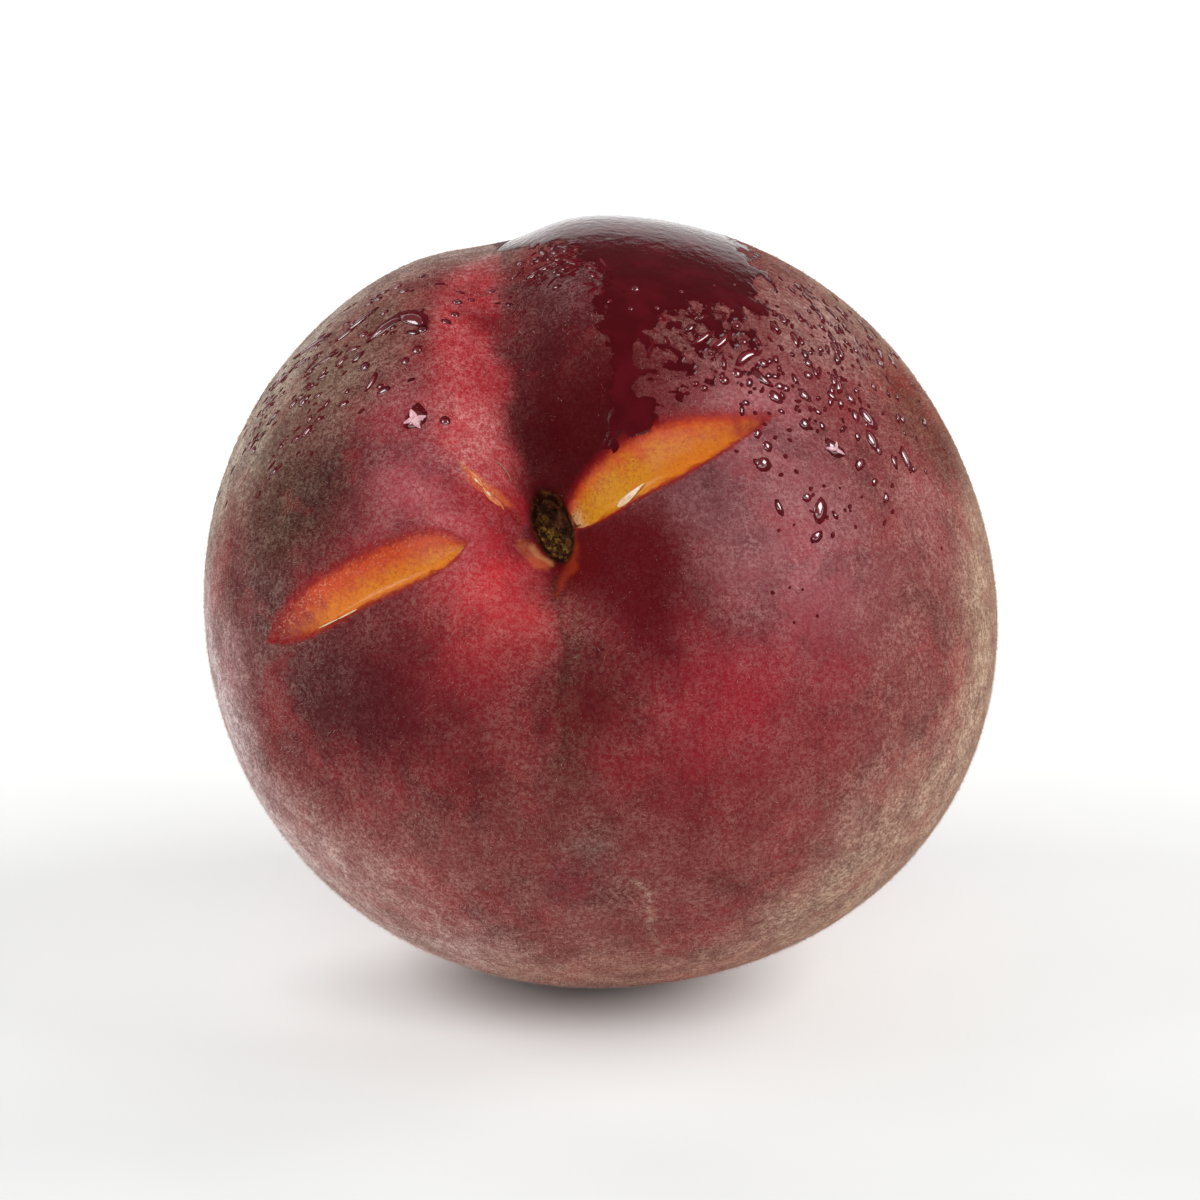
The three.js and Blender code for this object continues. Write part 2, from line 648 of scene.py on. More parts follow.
@dataclass(frozen=True)
class Streak:
    """A band of colour that runs away from the stem, with its own edge on each side."""

    bends: tuple[Bend, ...]
    skin: str
    down: str
    cover: float
    strength: float = 0.9
    left_edge: float = 0.6
    right_edge: float = 0.35

    def share(self, at: Places) -> Array:
        """How far each place belongs to it.

        Args:
            at: Places on the skin.

        Returns:
            One share a place.
        """
        reached = np.full(at.polar.shape, 99.0)
        lefts = np.zeros(at.polar.shape, bool)
        for near, far in zip(self.bends, self.bends[1:]):
            start, end = near.direction(), far.direction()
            run = end - start
            part = np.clip((at.directions - start) @ run / (run @ run), 0, 1)
            away = np.degrees(np.linalg.norm(at.directions - start - part[:, None] * run, axis=1))
            left = at.directions @ np.cross(start, end) > 0
            to_left = near.left + part * (far.left - near.left)
            to_right = near.right + part * (far.right - near.right)
            here = away / np.where(left, to_left, to_right)
            closer = here < reached
            reached = np.where(closer, here, reached)
            lefts = np.where(closer, left, lefts)
        edge = np.where(lefts, self.left_edge, self.right_edge)
        faded = np.clip((reached - 1 + edge) / (2 * edge), 0, 1)
        return self.strength * (1 - faded * faded * (3 - 2 * faded))


@dataclass(frozen=True)
class SkinPaint:
    """The skin's colours and its down, patch over patch, with some light and shade painted in."""

    ground: Patch = Patch(Spot(0, 0, 180), "651a22", "be8a80", 0.17)
    straying_deg: float = 2.4
    straying_scale: float = 0.14
    patches: tuple[Patch | Streak, ...] = (
        # The hidden side and the blossom end, where the red is warmer.
        Patch(Spot(145, 19, 38), "822722", "c9a283", 0.22, 0.8),
        Patch(Spot(107, 59, 30), "561c20", "b59c86", 0.24, 0.8),
        Patch(Spot(104, -59, 34), "6f2629", "c0a186", 0.25, 0.8),
        Patch(Spot(167, 5, 12), "a5482f", "d8b48c", 0.20, 0.7),
        # Round the girth below: pinker towards the surface that it lies on, partly painted light
        # bounced up from it.
        Patch(Spot(66, 168, 17), "763232", "c49488", 0.20),
        Patch(Spot(60, 140, 13), "7c3535", "cb9c90", 0.20),
        Patch(Spot(47, 158, 12), "692728", "bd877c", 0.13),
        Patch(Spot(62, -158, 16), "7a3031", "c48c80", 0.16),
        Patch(Spot(45, -165, 10), "791f26", "b8766e", 0.10),
        Patch(Spot(70, -140, 9), "80423f", "caa090", 0.27, 0.8),
        # The right cheek: rosy haze beside the funnel, redder outwards; the haze is partly painted
        # sheen of the light from the right on the down.
        Patch(Spot(58, -118, 17), "743032", "c69084", 0.20),
        Patch(Spot(36, -108, 12), "955459", "deb0b0", 0.16),
        Patch(Spot(42, -124, 9), "92474e", "d89c9e", 0.13),
        Patch(Spot(36, -78, 12), "984d53", "dea6a8", 0.15),
        Patch(Spot(52, -79, 9), "722329", "c58a82", 0.12),
        Patch(Spot(60, -62, 10), "6c2e32", "ccaca2", 0.48),
        Patch(Spot(25, -63, 4), "6c1c20", "b88080", 0.05, 0.6),
        Patch(Spot(24, -96, 7, stretch=1.4), "68363a", "bc8a8a", 0.12, 0.85),
        # Below the funnel, on the right of the seam; the two darkest patches, on the funnel's right
        # wall, are partly painted shade.
        Patch(Spot(40, -146, 10), "961a2b", "c87a78", 0.12),
        Patch(Spot(33, -152, 7), "8e1828", "c08078", 0.12, 0.8),
        Patch(Spot(22, -152, 8), "580d16", "a86a66", 0.03, 0.97),
        Patch(Spot(13.5, -135, 8.5), "580a12", "a56a68", 0.03, 0.93, 0.5),
        Patch(Spot(49, -130, 6), "741a26", "b87878", 0.10, 0.5),
        Patch(Spot(52, -140, 9), "7d242c", "c28078", 0.12, 0.8),
        # Below the funnel, on its left; the bright reds on the funnel's lower wall are partly
        # painted light.
        Patch(Spot(36, 124, 12), "501119", "96685f", 0.025, 0.93),
        Patch(Spot(45, 110, 9), "461318", "a5837a", 0.06, 0.93),
        Patch(Spot(25, 140, 7), "8a1a26", "c87a72", 0.09, 0.85),
        Patch(Spot(14, 126, 7.5), "c62a34", "ea9c94", 0.16, 0.95),
        Patch(Spot(16, 156, 5), "ac2830", "e09488", 0.16, 0.9),
        Patch(Spot(30, 176, 7), "5a1018", "a87660", 0.03, 0.9),
        Patch(Spot(11, 112, 4.5), "c41e28", "e09090", 0.07, 0.7),
        Patch(Spot(8.4, 64, 3.4), "86141a", "c08080", 0.05, 0.75),
        # The left cheek, under and over the branch mark.
        Patch(Spot(50, 88, 11), "43171a", "a59086", 0.19, 0.9),
        Patch(Spot(33, 74, 8), "651820", "b98478", 0.10, 0.9),
        Patch(Spot(23, 62, 8), "9e3d46", "e2a8aa", 0.16, 0.9),
        Patch(Spot(17, 80, 6), "b33f49", "e6a6a4", 0.13, 0.9),
        Patch(Spot(12, 54, 5), "941e28", "d08888", 0.07, 0.85),
        Patch(Spot(28, 40, 7), "8c2632", "d49898", 0.17, 0.85),
        Patch(Spot(38, 64, 9), "3a1015", "94806e", 0.10, 0.93),
        Patch(Spot(46, 40, 9), "4f2322", "b3a189", 0.36, 0.9),
        Patch(Spot(54, 56, 9), "4a2524", "b0a18c", 0.36, 0.9),
        Patch(Spot(45, 70, 8), "38120f", "94836f", 0.20, 0.85),
        # The dark right bank of the suture down into the funnel, partly painted shade, and its red
        # left bank, partly painted light.
        Patch(Spot(27, -14, 9, stretch=2.4, turn_deg=6), "480a11", "94625e", 0.06, 0.97),
        Patch(Spot(14, -42, 8), "40070b", "8a6a5c", 0.02, 0.97),
        Patch(Spot(15.5, -20, 7), "46080d", "8a5a54", 0.015, 0.95),
        Patch(Spot(22, -38, 6, stretch=1.5), "4a080e", "8a5a54", 0.02, 0.9),
        Patch(Spot(41, -16, 7), "4c141a", "a8868a", 0.20, 0.8),
        Patch(Spot(47, 24, 6), "59201f", "ad9681", 0.30, 0.8),
        Streak(
            (Bend(6.0, 75, 8.0, 1.0), Bend(10.3, 43, 3.4, 1.4), Bend(13.8, 38, 3.2, 2.0),
             Bend(19.5, 27, 4.2, 4.2), Bend(25.6, 17.4, 4.4, 4.8), Bend(32, 13.4, 4.4, 4.8),
             Bend(41, 8.5, 4.0, 3.8), Bend(50.6, 4.8, 3.2, 3.2), Bend(60, 1.5, 2.4, 1.8)),
            "a01620", "ee9a9c", 0.17, 0.92, 0.85, 0.5,
        ),
        Patch(Spot(19, 29, 4.4, stretch=1.7, turn_deg=-14), "b22c36", "f2b2ac", 0.23, 0.9, 0.7),
        # The dark red corner beside the mark, partly painted shade in the funnel, and the warm
        # edges of the scar.
        Patch(Spot(7, -165, 4.5), "5c0a10", "a86a60", 0.02, 0.9, 0.5),
        Streak(
            (Bend(5.6, 100, 0.7, 0.9), Bend(5.9, 122, 1.0, 1.1), Bend(6.9, 148, 1.2, 1.0)),
            "c2562e", "e8b090", 0.12, 0.75, 0.9,
        ),
        Streak(
            (Bend(4.5, 110, 0.5, 0.6), Bend(4.7, 132, 0.7, 0.6), Bend(6.0, 158, 0.6, 0.5)),
            "d88c5c", "ecc8a8", 0.1, 0.7, 0.7, 0.6,
        ),
        # A pale bluish streak on the scar's left rim: a painted highlight.
        Streak(
            (Bend(8.0, 28, 0.5, 0.5), Bend(6.0, 50, 0.5, 0.5), Bend(4.8, 78, 0.4, 0.5)),
            "6e4248", "a88c90", 0.2, 0.35, 0.8, 0.7,
        ),
        Streak(
            (Bend(3.8, -110, 1.0, 0.8), Bend(5.4, -158, 0.9, 1.1), Bend(11.6, 174, 0.5, 0.8)),
            "9a3418", "d09070", 0.02, 0.65, 0.6, 0.6,
        ),
        # The seam below the scar: a dark line, partly painted shade in its crease, with a little
        # khaki down along its right.
        Streak(
            (Bend(9, 173, 0.5, 0.7), Bend(24, 171.5, 0.6, 0.8), Bend(37, 169, 0.8, 1.0)),
            "3c1213", "8a7460", 0.06, 0.42,
        ),
        Streak(
            (Bend(14, 180, 1.6, 2.0), Bend(24, 175, 1.2, 2.0), Bend(40, 171, 1.6, 2.4)),
            "5c1a1c", "b09a80", 0.12, 0.4, 0.9, 0.9,
        ),
        # Khaki smudges and darker blooms below.
        Streak(
            (Bend(61, 178, 0.4, 0.4), Bend(70, 179, 0.5, 0.5), Bend(82, 178, 0.5, 0.5)),
            "6a2c2c", "d8c4a8", 0.42, 0.6, 0.9, 0.9,
        ),
        Patch(Spot(52.5, 171, 3.0), "5a2a2c", "a89a8a", 0.34, 0.6),
        Patch(Spot(58.5, 168, 5.0, stretch=0.7), "5a1424", "b08080", 0.10, 0.5),
        Patch(Spot(54, -168, 5.0, stretch=0.8), "641820", "b88078", 0.10, 0.5),
        Patch(Spot(43, 147.5, 5.0), "641218", "b07870", 0.05, 0.6),
        # The split beside the suture.
        Streak(
            (Bend(16.2, 44, 0.4, 0.5), Bend(12.8, 48.5, 0.7, 0.9), Bend(9.6, 57, 0.5, 0.6)),
            "c8502a", "f0b088", 0.25, 0.9,
        ),
        Patch(Spot(16.5, 47, 0.9), "5a464c", "8c8488", 0.3, 0.5),
        Patch(Spot(62, 92, 6), "6c3236", "d8b4b0", 0.42, 0.6),
        Patch(Spot(62, -96, 8), "86343a", "d8a8a0", 0.34, 0.6),
        # The pale edges of the fruit, seen against the light: paler down, partly its own tint and
        # partly painted rim light where the light behind grazes the edges as seen.
        Patch(Spot(100, -106, 28), "6a3432", "ccae94", 0.52, 1.0, 0.26),
        Patch(Spot(104, -146, 33), "683233", "ceb098", 0.52, 0.9, 0.3),
        Patch(Spot(98, -58, 28), "6b3a33", "cdb4a0", 0.46, 0.9, 0.3),
        Patch(Spot(98, 128, 31), "783838", "e0c6be", 0.56, 0.9, 0.3),
        Patch(Spot(98, 88, 33), "643a3c", "e6d4d4", 0.62, 0.95, 0.26),
        Patch(Spot(88, 42, 33), "553330", "cfc4b2", 0.58, 0.95, 0.26),
        Patch(Spot(94, 8, 36), "5a3432", "cbb9ae", 0.52, 0.9, 0.28),
        Patch(Spot(104, 168, 26), "743632", "c8a08c", 0.42, 0.8, 0.3),
        Patch(Spot(72.5, -77, 10), "5e1a18", "b08468", 0.13, 0.95),
        Patch(Spot(76, 137, 9), "86383a", "d0a294", 0.32, 0.6),
        Patch(Spot(38.5, 3, 3.6), "7a0f18", "b87876", 0.05, 0.8),
    )

    def coats(self, at: Places, form: PeachForm) -> tuple[Array, Array]:
        """The skin's colour and the down over it, in linear values.

        Args:
            at: Places on the skin.
            form: The fruit's form.

        Returns:
            Skin colours with 1 last, and down tints with the down's cover last, a row a place.
        """
        strayed = wander(at.directions * form.mean_radius, self.straying_scale, 4, 4.0)
        strayed = form.places(unit(at.directions + math.radians(self.straying_deg) * strayed))
        skin = np.tile(np.array(linear(self.ground.skin)), (len(at.polar), 1))
        down = np.tile(self.coat(self.ground), (len(at.polar), 1))
        for patch in self.patches:
            share = patch.share(strayed)[:, None]
            skin += share * (np.array(linear(patch.skin)) - skin)
            down += share * (self.coat(patch) - down)
        return skin, down

    def coat(self, patch: Patch | Streak) -> Array:
        """A patch's down tint, with its cover last."""
        return np.array([*linear(patch.down)[:3], patch.cover])


@dataclass(frozen=True)
class Bank:
    """The two banks of the water at one distance from the core, as bearings from the suture.

    Their raggedness is in millimetres.
    """

    polar_deg: float
    left_deg: float
    right_deg: float
    left_raggedness: float
    right_raggedness: float


@dataclass(frozen=True)
class WetShoulder:
    """The film of water from beside the funnel over the crown: calm left bank, ragged right."""

    banks: tuple[Bank, ...] = (
        Bank(14.5, -49, -58, 0.3, 0.3),
        Bank(17.0, -47, -60, 0.4, 0.4),
        Bank(20.5, -40.5, -65, 0.8, 0.8),
        Bank(24.5, -33.5, -63, 1.2, 1.4),
        Bank(28.0, -30.5, -60, 1.6, 2.6),
        Bank(32.0, -28.0, -62, 1.8, 3.4),
        Bank(37.0, -25.0, -63, 2.0, 3.6),
        Bank(42.0, -22.0, -61, 2.0, 3.4),
        Bank(46.0, -18.5, -57.5, 1.6, 2.6),
        Bank(50.0, -15.0, -54.0, 1.6, 1.4),
        Bank(54.0, -11.0, -50.5, 1.2, 3.0),
        Bank(58.0, -5.0, -47.0, 0.9, 3.2),
        Bank(63.0, 0.0, -44.0, 0.7, 3.0),
        Bank(70.0, 2.0, -38.0, 0.9, 2.4),
        Bank(75.0, -3.0, -34.0, 1.8, 2.2),
        Bank(79.5, -9.0, -29.0, 2.2, 2.2),
        Bank(83.0, -17.0, -23.0, 2.2, 2.2),
    )
    islands: Spot = Spot(35.5, -56.5, 9.5, stretch=1.3)
    islands_edge: float = 0.22
    island_depth: float = 9.0
    island_bias: float = 0.27
    lump_scale: float = 0.42
    lump_octaves: int = 6
    seed: float = 3.1

    def film(self, at: Places) -> Array:
        """Millimetres inside the ragged edge of the film, negative on dry down.

        Args:
            at: Places on the skin.

        Returns:
            One value a place, no more than 1 well inside the film.
        """
        polar = [bank.polar_deg for bank in self.banks]

        def at_bank(values: list[float]) -> Array:
            """The banks' values between their distances from the core."""
            return np.interp(at.polar_deg, polar, values)

        bearing = np.degrees(at.bearing)
        degree = math.radians(1) * MEAN_RADIUS
        reach = at.spread * degree
        from_left = (at_bank([bank.left_deg for bank in self.banks]) - bearing) * reach
        from_right = (bearing - at_bank([bank.right_deg for bank in self.banks])) * reach
        from_ends = np.minimum(at.polar_deg - polar[0], polar[-1] - at.polar_deg) * degree
        near = np.minimum(np.minimum(from_left, from_right), from_ends) > -4
        ragged, lumps = np.zeros(at.polar.shape), np.zeros(at.polar.shape)
        places = at.directions[near] * MEAN_RADIUS
        ragged[near] = turbulence(places, self.lump_scale, self.lump_octaves, self.seed)
        lumps[near] = turbulence(places, self.lump_scale * 1.6, 4, self.seed + 5)
        from_left += ragged * at_bank([bank.left_raggedness for bank in self.banks])
        from_right += ragged * at_bank([bank.right_raggedness for bank in self.banks])
        film = np.minimum(np.minimum(from_left, from_right), from_ends)
        islands = self.islands.within(at, self.islands_edge)
        sunk = self.island_depth * islands * np.maximum(lumps + self.island_bias, 0)
        return np.where(near, np.minimum(film, 1.0) - sunk, OUTSIDE)


@dataclass(frozen=True)
class Down:
    """How thickly the short down stands, from none to full."""

    bare_funnel: float = 0.55

    def density(self, at: Places, form: PeachForm, water: WetShoulder) -> Array:
        """0 on bare or wet skin, 1 in full down.

        Args:
            at: Places on the skin.
            form: The fruit's form, for the marks and the scar.
            water: The film that floods the down.

        Returns:
            One share a place.
        """
        density = 1 - smoothstep(water.film(at), -0.25, 0.1)
        for mark in form.marks:
            bare = 1 - smoothstep(np.abs(mark.share(at.x, at.y)), 0.85, 1.15)
            within = np.abs(mark.along(at.x, at.y)) < 1
            density *= 1 - np.where(at.stem_side & within, bare, 0)
        density *= smoothstep(form.scar_share(at), 1.0, 1.5)
        out_of_funnel = smoothstep(at.polar_deg, 8, 16)
        return density * (self.bare_funnel + (1 - self.bare_funnel) * out_of_funnel)


# ---------------------------------------------------------------------------------------------
# Finishes
# ---------------------------------------------------------------------------------------------


class Graph:
    """A material's node tree, built by short calls."""

    def __init__(self, name: str) -> None:
        """Starts the material with its one shader.

        Args:
            name: The material's name.
        """
        self.material = bpy.data.materials.new(name)
        self.material.use_nodes = True
        self.tree = self.material.node_tree
        self.shader = self.tree.nodes["Principled BSDF"]

    def node(self, kind: str, links: dict | None = None, **settings: object) -> bpy.types.Node:
        """A new node.

        Args:
            kind: Its type, without the ShaderNode in front.
            links: What feeds or fills its inputs, by name or number.
            settings: Its own settings, such as operation.

        Returns:
            The node.
        """
        made = self.tree.nodes.new("ShaderNode" + kind)
        for key, value in settings.items():
            setattr(made, key, value)
        for key, value in (links or {}).items():
            self.feed(made.inputs[key], value)
        return made

    def feed(self, socket: NodeSocket, value: object) -> None:
        """Links a socket to another, or gives it a plain value.

        Args:
            socket: What is fed.
            value: The other socket, a number or vector, or a colour such as "7e2a32".
        """
        if isinstance(value, NodeSocket):
            self.tree.links.new(value, socket)
        else:
            socket.default_value = linear(value) if isinstance(value, str) else value

    def set(self, **values: object) -> None:
        """Feeds the shader's sockets, named with _ for each space."""
        for key, value in values.items():
            self.feed(self.shader.inputs[key.replace("_", " ")], value)

    def math(self, operation: str, a: object, b: object = 0.0) -> NodeSocket:
        """Two values put together by the named operation."""
        return self.node("Math", {0: a, 1: b}, operation=operation).outputs[0]

    def times(self, a: object, b: object) -> NodeSocket:
        """One value times another."""
        return self.math("MULTIPLY", a, b)

    def plus(self, a: object, b: object) -> NodeSocket:
        """One value and another together."""
        return self.math("ADD", a, b)

    def blend(self, share: object, low: object, high: object) -> NodeSocket:
        """One colour turning into another.

        Args:
            share: How far it has turned, from 0 to 1.
            low: The colour at 0.
            high: The colour at 1.

        Returns:
            The colour.
        """
        made = self.node("Mix", data_type="RGBA")
        self.feed(made.inputs[0], share)
        self.feed(made.inputs[6], low)
        self.feed(made.inputs[7], high)
        return made.outputs[2]

    def lerp(self, share: object, low: object, high: object) -> NodeSocket:
        """One value turning into another."""
        return self.node("Mix", {0: share, 2: low, 3: high}, data_type="FLOAT").outputs[0]

    def rise(self, value: object, low: float, high: float, top: float = 1.0) -> NodeSocket:
        """A smooth rise from 0 at low to top at high.

        Args:
            value: What is followed.
            low: Where the rise starts, above high for a fall.
            high: Where it ends.
            top: How far it goes.

        Returns:
            The value.
        """
        links = {"Value": value, "From Min": low, "From Max": high, "To Max": top}
        made = self.node("MapRange", links, interpolation_type="SMOOTHSTEP", clamp=True)
        return made.outputs[0]

    def attribute(self, name: str, output: str = "Fac") -> NodeSocket:
        """What the mesh carries under that name."""
        return self.node("Attribute", attribute_name=name).outputs[output]

    def millimetres(self) -> NodeSocket:
        """The place in the row frame, in millimetres."""
        place = self.node("TexCoord").outputs["Object"]
        return self.node("Mapping", {"Vector": place, "Scale": (1000, 1000, 1000)}).outputs[0]

    def noise(
        self, place: object, scale: float, detail: float = 2.0, roughness: float = 0.5
    ) -> NodeSocket:
        """Cloudy noise from 0 to 1.

        Args:
            place: The coordinates that it reads.
            scale: Clouds a unit.
            detail: Finer layers.
            roughness: Their strength.

        Returns:
            The value.
        """
        links = {"Vector": place, "Scale": scale, "Detail": detail, "Roughness": roughness}
        return self.node("TexNoise", links).outputs["Fac"]

    def strayed(
        self, place: object, scale: float, detail: float, roughness: float = 0.5
    ) -> NodeSocket:
        """Cloudy noise about 0, from -0.5 to 0.5."""
        return self.math("SUBTRACT", self.noise(place, scale, detail, roughness), 0.5)

    def bump(self, height: object, strength: float, distance: float) -> NodeSocket:
        """A normal from a height."""
        links = {"Height": height, "Strength": strength, "Distance": distance}
        return self.node("Bump", links).outputs["Normal"]


@dataclass(frozen=True)
class MarkColours:
    """Bare orange skin, from its pale end beside the scar to its red far tip, with a rim of painted
    shade where it meets the scar.
    """

    # rim is painted shade where the mark meets the scar's plug.
    rim: str = "6e2c14"
    torn: str = "dcae7c"
    pale: str = "d8a050"
    golden: str = "cf9016"
    orange: str = "d0741c"
    tip: str = "b0482a"
    blush: str = "c83c1e"
    grit: str = "b03a20"
    glow: str = "e2822a"
    hair: str = "e8a488"
    ember: str = "8a2a24"
    freckle: str = "984416"
    fringe: str = "8a161b"
    edge: str = "9c1a14"


@dataclass(frozen=True)
class SkinFinish:
    """The painted skin with its speckle of down, its marks and its wet patch."""

    colours: MarkColours = MarkColours()
    deep: str = "2e060b"
    ruddy: str = "9a1c2a"
    wet: str = "470409"
    scar_dark: str = "2a120a"
    scar_fleck: str = "6a3e1c"
    dry_roughness: float = 0.75
    sheen_tint: str = "c8a898"

    def material(self) -> Material:
        """Builds the finish.

        Returns:
            The material.
        """
        g = Graph("peach skin")
        place = g.millimetres()
        grain = g.lerp(0.56, g.noise(place, 6.4, 1.0, 0.5), g.noise(place, 2.7, 2.0, 0.6))
        colour = self.furred(g, self.mottled(g, place), grain, place)
        film = g.rise(g.attribute("film"), -0.35, 0.0)
        colour = g.blend(film, colour, self.wet)
        colour = g.blend(self.mark_fringe(g, place), colour, self.colours.fringe)
        mark = self.mark_mask(g, place)
        colour = g.blend(mark, colour, self.mark_colour(g, place))
        scar = g.rise(g.attribute("scar"), 1.18, 0.95)
        colour = g.blend(scar, colour, self.scar_colour(g, place))
        g.set(Base_Color=colour)
        g.set(Roughness=self.dry_roughness, Specular_IOR_Level=0.02)
        g.set(Sheen_Weight=0.04, Sheen_Roughness=0.4, Sheen_Tint=self.sheen_tint)
        bare = g.math("MAXIMUM", g.times(mark, 0.5), g.times(film, 0.2))
        g.set(Coat_Weight=bare, Coat_Roughness=0.28)
        nap = g.lerp(bare, grain, 0.5)
        g.set(Normal=g.bump(nap, 0.5, 0.00012))
        return g.material

    def mottled(self, g: Graph, place: object) -> NodeSocket:
        """The painted skin with darker clouds and pores.

        Args:
            g: The material's graph.
            place: Coordinates in millimetres.

        Returns:
            The mottled colour.
        """
        paint = g.attribute("paint", "Color")
        lively = g.rise(g.attribute("coat", "Alpha"), 0.02, 0.14)
        dark = g.rise(g.noise(place, 0.17, 5.0, 0.58), 0.47, 0.66, 0.42)
        dark = g.times(dark, g.lerp(lively, 0.35, 1.0))
        clouded = g.blend(dark, paint, self.deep)
        elsewhere = g.node("Mapping", {0: place, 1: (31, 7, 19)}).outputs[0]
        ruddy = g.rise(g.noise(elsewhere, 0.13, 4.0, 0.6), 0.5, 0.64, 0.3)
        clouded = g.blend(g.times(ruddy, lively), clouded, self.ruddy)
        pores = g.rise(g.noise(place, 1.3, 4.0, 0.7), 0.52, 0.74, 0.26)
        return g.blend(pores, clouded, self.deep)

    def furred(self, g: Graph, base: object, grain: object, place: object) -> NodeSocket:
        """The skin under the fine pale speckle of its down.

        Args:
            g: The material's graph.
            base: The skin's colour.
            grain: Fine noise, one speck a hair or two.
            place: Coordinates in millimetres.

        Returns:
            The speckled colour.
        """
        cloud = g.lerp(g.rise(g.noise(place, 0.3, 5.0, 0.6), 0.36, 0.64), 0.68, 1.28)
        clump = g.lerp(g.rise(g.noise(place, 1.1, 3.0, 0.65), 0.38, 0.62), 0.8, 1.22)
        alpha = g.attribute("coat", "Alpha")
        thick = g.rise(alpha, 0.08, 0.4)
        speck = g.rise(grain, 0.4, 0.62)
        speck = g.lerp(speck, g.lerp(thick, 0.24, 0.48), g.lerp(thick, 1.84, 1.54))
        cover = g.times(cloud, g.times(clump, speck))
        cover = g.times(alpha, cover)
        cover = g.math("MINIMUM", g.times(cover, g.attribute("down")), 0.92)
        return g.blend(cover, base, g.attribute("coat", "Color"))

    def mark_mask(self, g: Graph, place: object) -> NodeSocket:
        """1 on the bare orange marks, crisp below, softer above and worn at the redder one's tip.

        Args:
            g: The material's graph.
            place: Coordinates in millimetres.

        Returns:
            The mask.
        """
        inside, along, red = (g.attribute("mark_" + n) for n in ("inside", "along", "red"))
        worn_end = g.times(g.rise(red, 0.2, 0.5), g.rise(along, 0.3, 1.0))
        ragged = g.times(g.strayed(place, 1.8, 4.0, 0.7), g.lerp(worn_end, 1.2, 3.6))
        soft = g.rise(g.plus(inside, ragged), -0.5, 0.8)
        fine = g.times(ragged, 0.4)
        crisp = g.rise(g.plus(inside, fine), -0.02, 0.22)
        softness = g.rise(g.attribute("mark_upper"), -0.2, 0.4)
        softness = g.math("MAXIMUM", softness, g.times(red, 1.5))
        started = g.rise(g.plus(along, g.times(fine, 0.15)), -0.97, -0.89)
        return g.times(g.lerp(softness, crisp, soft), started)

    def mark_fringe(self, g: Graph, place: object) -> NodeSocket:
        """1 on the red skin round the marks, wider above them than below.

        Args:
            g: The material's graph.
            place: Coordinates in millimetres.

        Returns:
            The mask.
        """
        above = g.rise(g.attribute("mark_upper"), -0.4, 0.6)
        reach = g.plus(g.attribute("mark_inside"), g.strayed(place, 1.0, 4.0))
        return g.lerp(above, g.rise(reach, -0.45, -0.05, 0.65), g.rise(reach, -1.4, -0.1, 0.65))

    def mark_colour(self, g: Graph, place: object) -> NodeSocket:
        """The marks' colour along and across them.

        Args:
            g: The material's graph.
            place: Coordinates in millimetres.

        Returns:
            The colour.
        """
        c = self.colours
        red, from_end = g.attribute("mark_red"), g.attribute("mark_along")
        stray = g.times(g.strayed(place, 0.7, 4.0, 0.65), 0.9)
        along = g.plus(from_end, stray)
        upper = g.plus(g.attribute("mark_upper"), g.times(stray, 1.4))
        colour = g.blend(g.rise(along, -0.95, -0.6), c.pale, c.golden)
        colour = g.blend(g.rise(along, -0.45, 0.3), colour, c.orange)
        colour = g.blend(red, colour, c.glow)
        # The less red mark ends beside the scar in a torn pale flap, edged with a dark rim of
        # painted shade next to the scar.
        torn = g.plus(from_end, g.times(g.strayed(place, 1.6, 3.0, 0.7), 0.5))
        end = g.rise(red, 0.3, 0.15)
        colour = g.blend(g.times(g.rise(torn, -0.7, -0.79, 0.75), end), colour, c.torn)
        colour = g.blend(g.times(g.rise(torn, -0.81, -0.89), end), colour, c.rim)
        colour = g.blend(g.rise(along, 0.4, 0.95), colour, c.tip)
        colour = g.blend(g.rise(g.plus(upper, red), 0.2, 1.1, 0.85), colour, c.blush)
        grit = g.times(
            g.rise(g.noise(place, 3.0, 3.0, 0.7), 0.4, 0.66, 0.75),
            g.lerp(g.rise(red, 0.0, 0.5), 0.7, 1.0),
        )
        grit = g.times(grit, g.lerp(g.rise(upper, -0.6, 0.4), 0.35, 1.0))
        colour = g.blend(grit, colour, c.grit)
        far = g.times(g.rise(along, 0.35, 0.95), g.rise(red, 0.2, 0.5))
        far = g.math("MAXIMUM", far, g.rise(along, 0.68, 1.0, 0.7))
        colour = g.blend(far, colour, c.ember)
        colour = g.blend(g.rise(upper, -0.72, -1.0, 0.8), colour, c.edge)
        freckles = g.rise(g.noise(place, 3.2, 3.0, 0.65), 0.56, 0.7, 0.6)
        colour = g.blend(freckles, colour, c.freckle)
        hairs = g.rise(g.noise(place, 4.2, 2.0, 0.6), 0.53, 0.66, 0.5)
        worn = g.times(red, g.rise(g.plus(upper, along), 0.0, 1.4, 1.8))
        return g.blend(g.times(hairs, worn), colour, c.hair)

    def scar_colour(self, g: Graph, place: object) -> NodeSocket:
        """Dark torn fibre with olive flecks."""
        flecks = g.rise(g.noise(place, 1.5, 4.0, 0.7), 0.48, 0.66)
        return g.blend(flecks, self.scar_dark, self.scar_fleck)


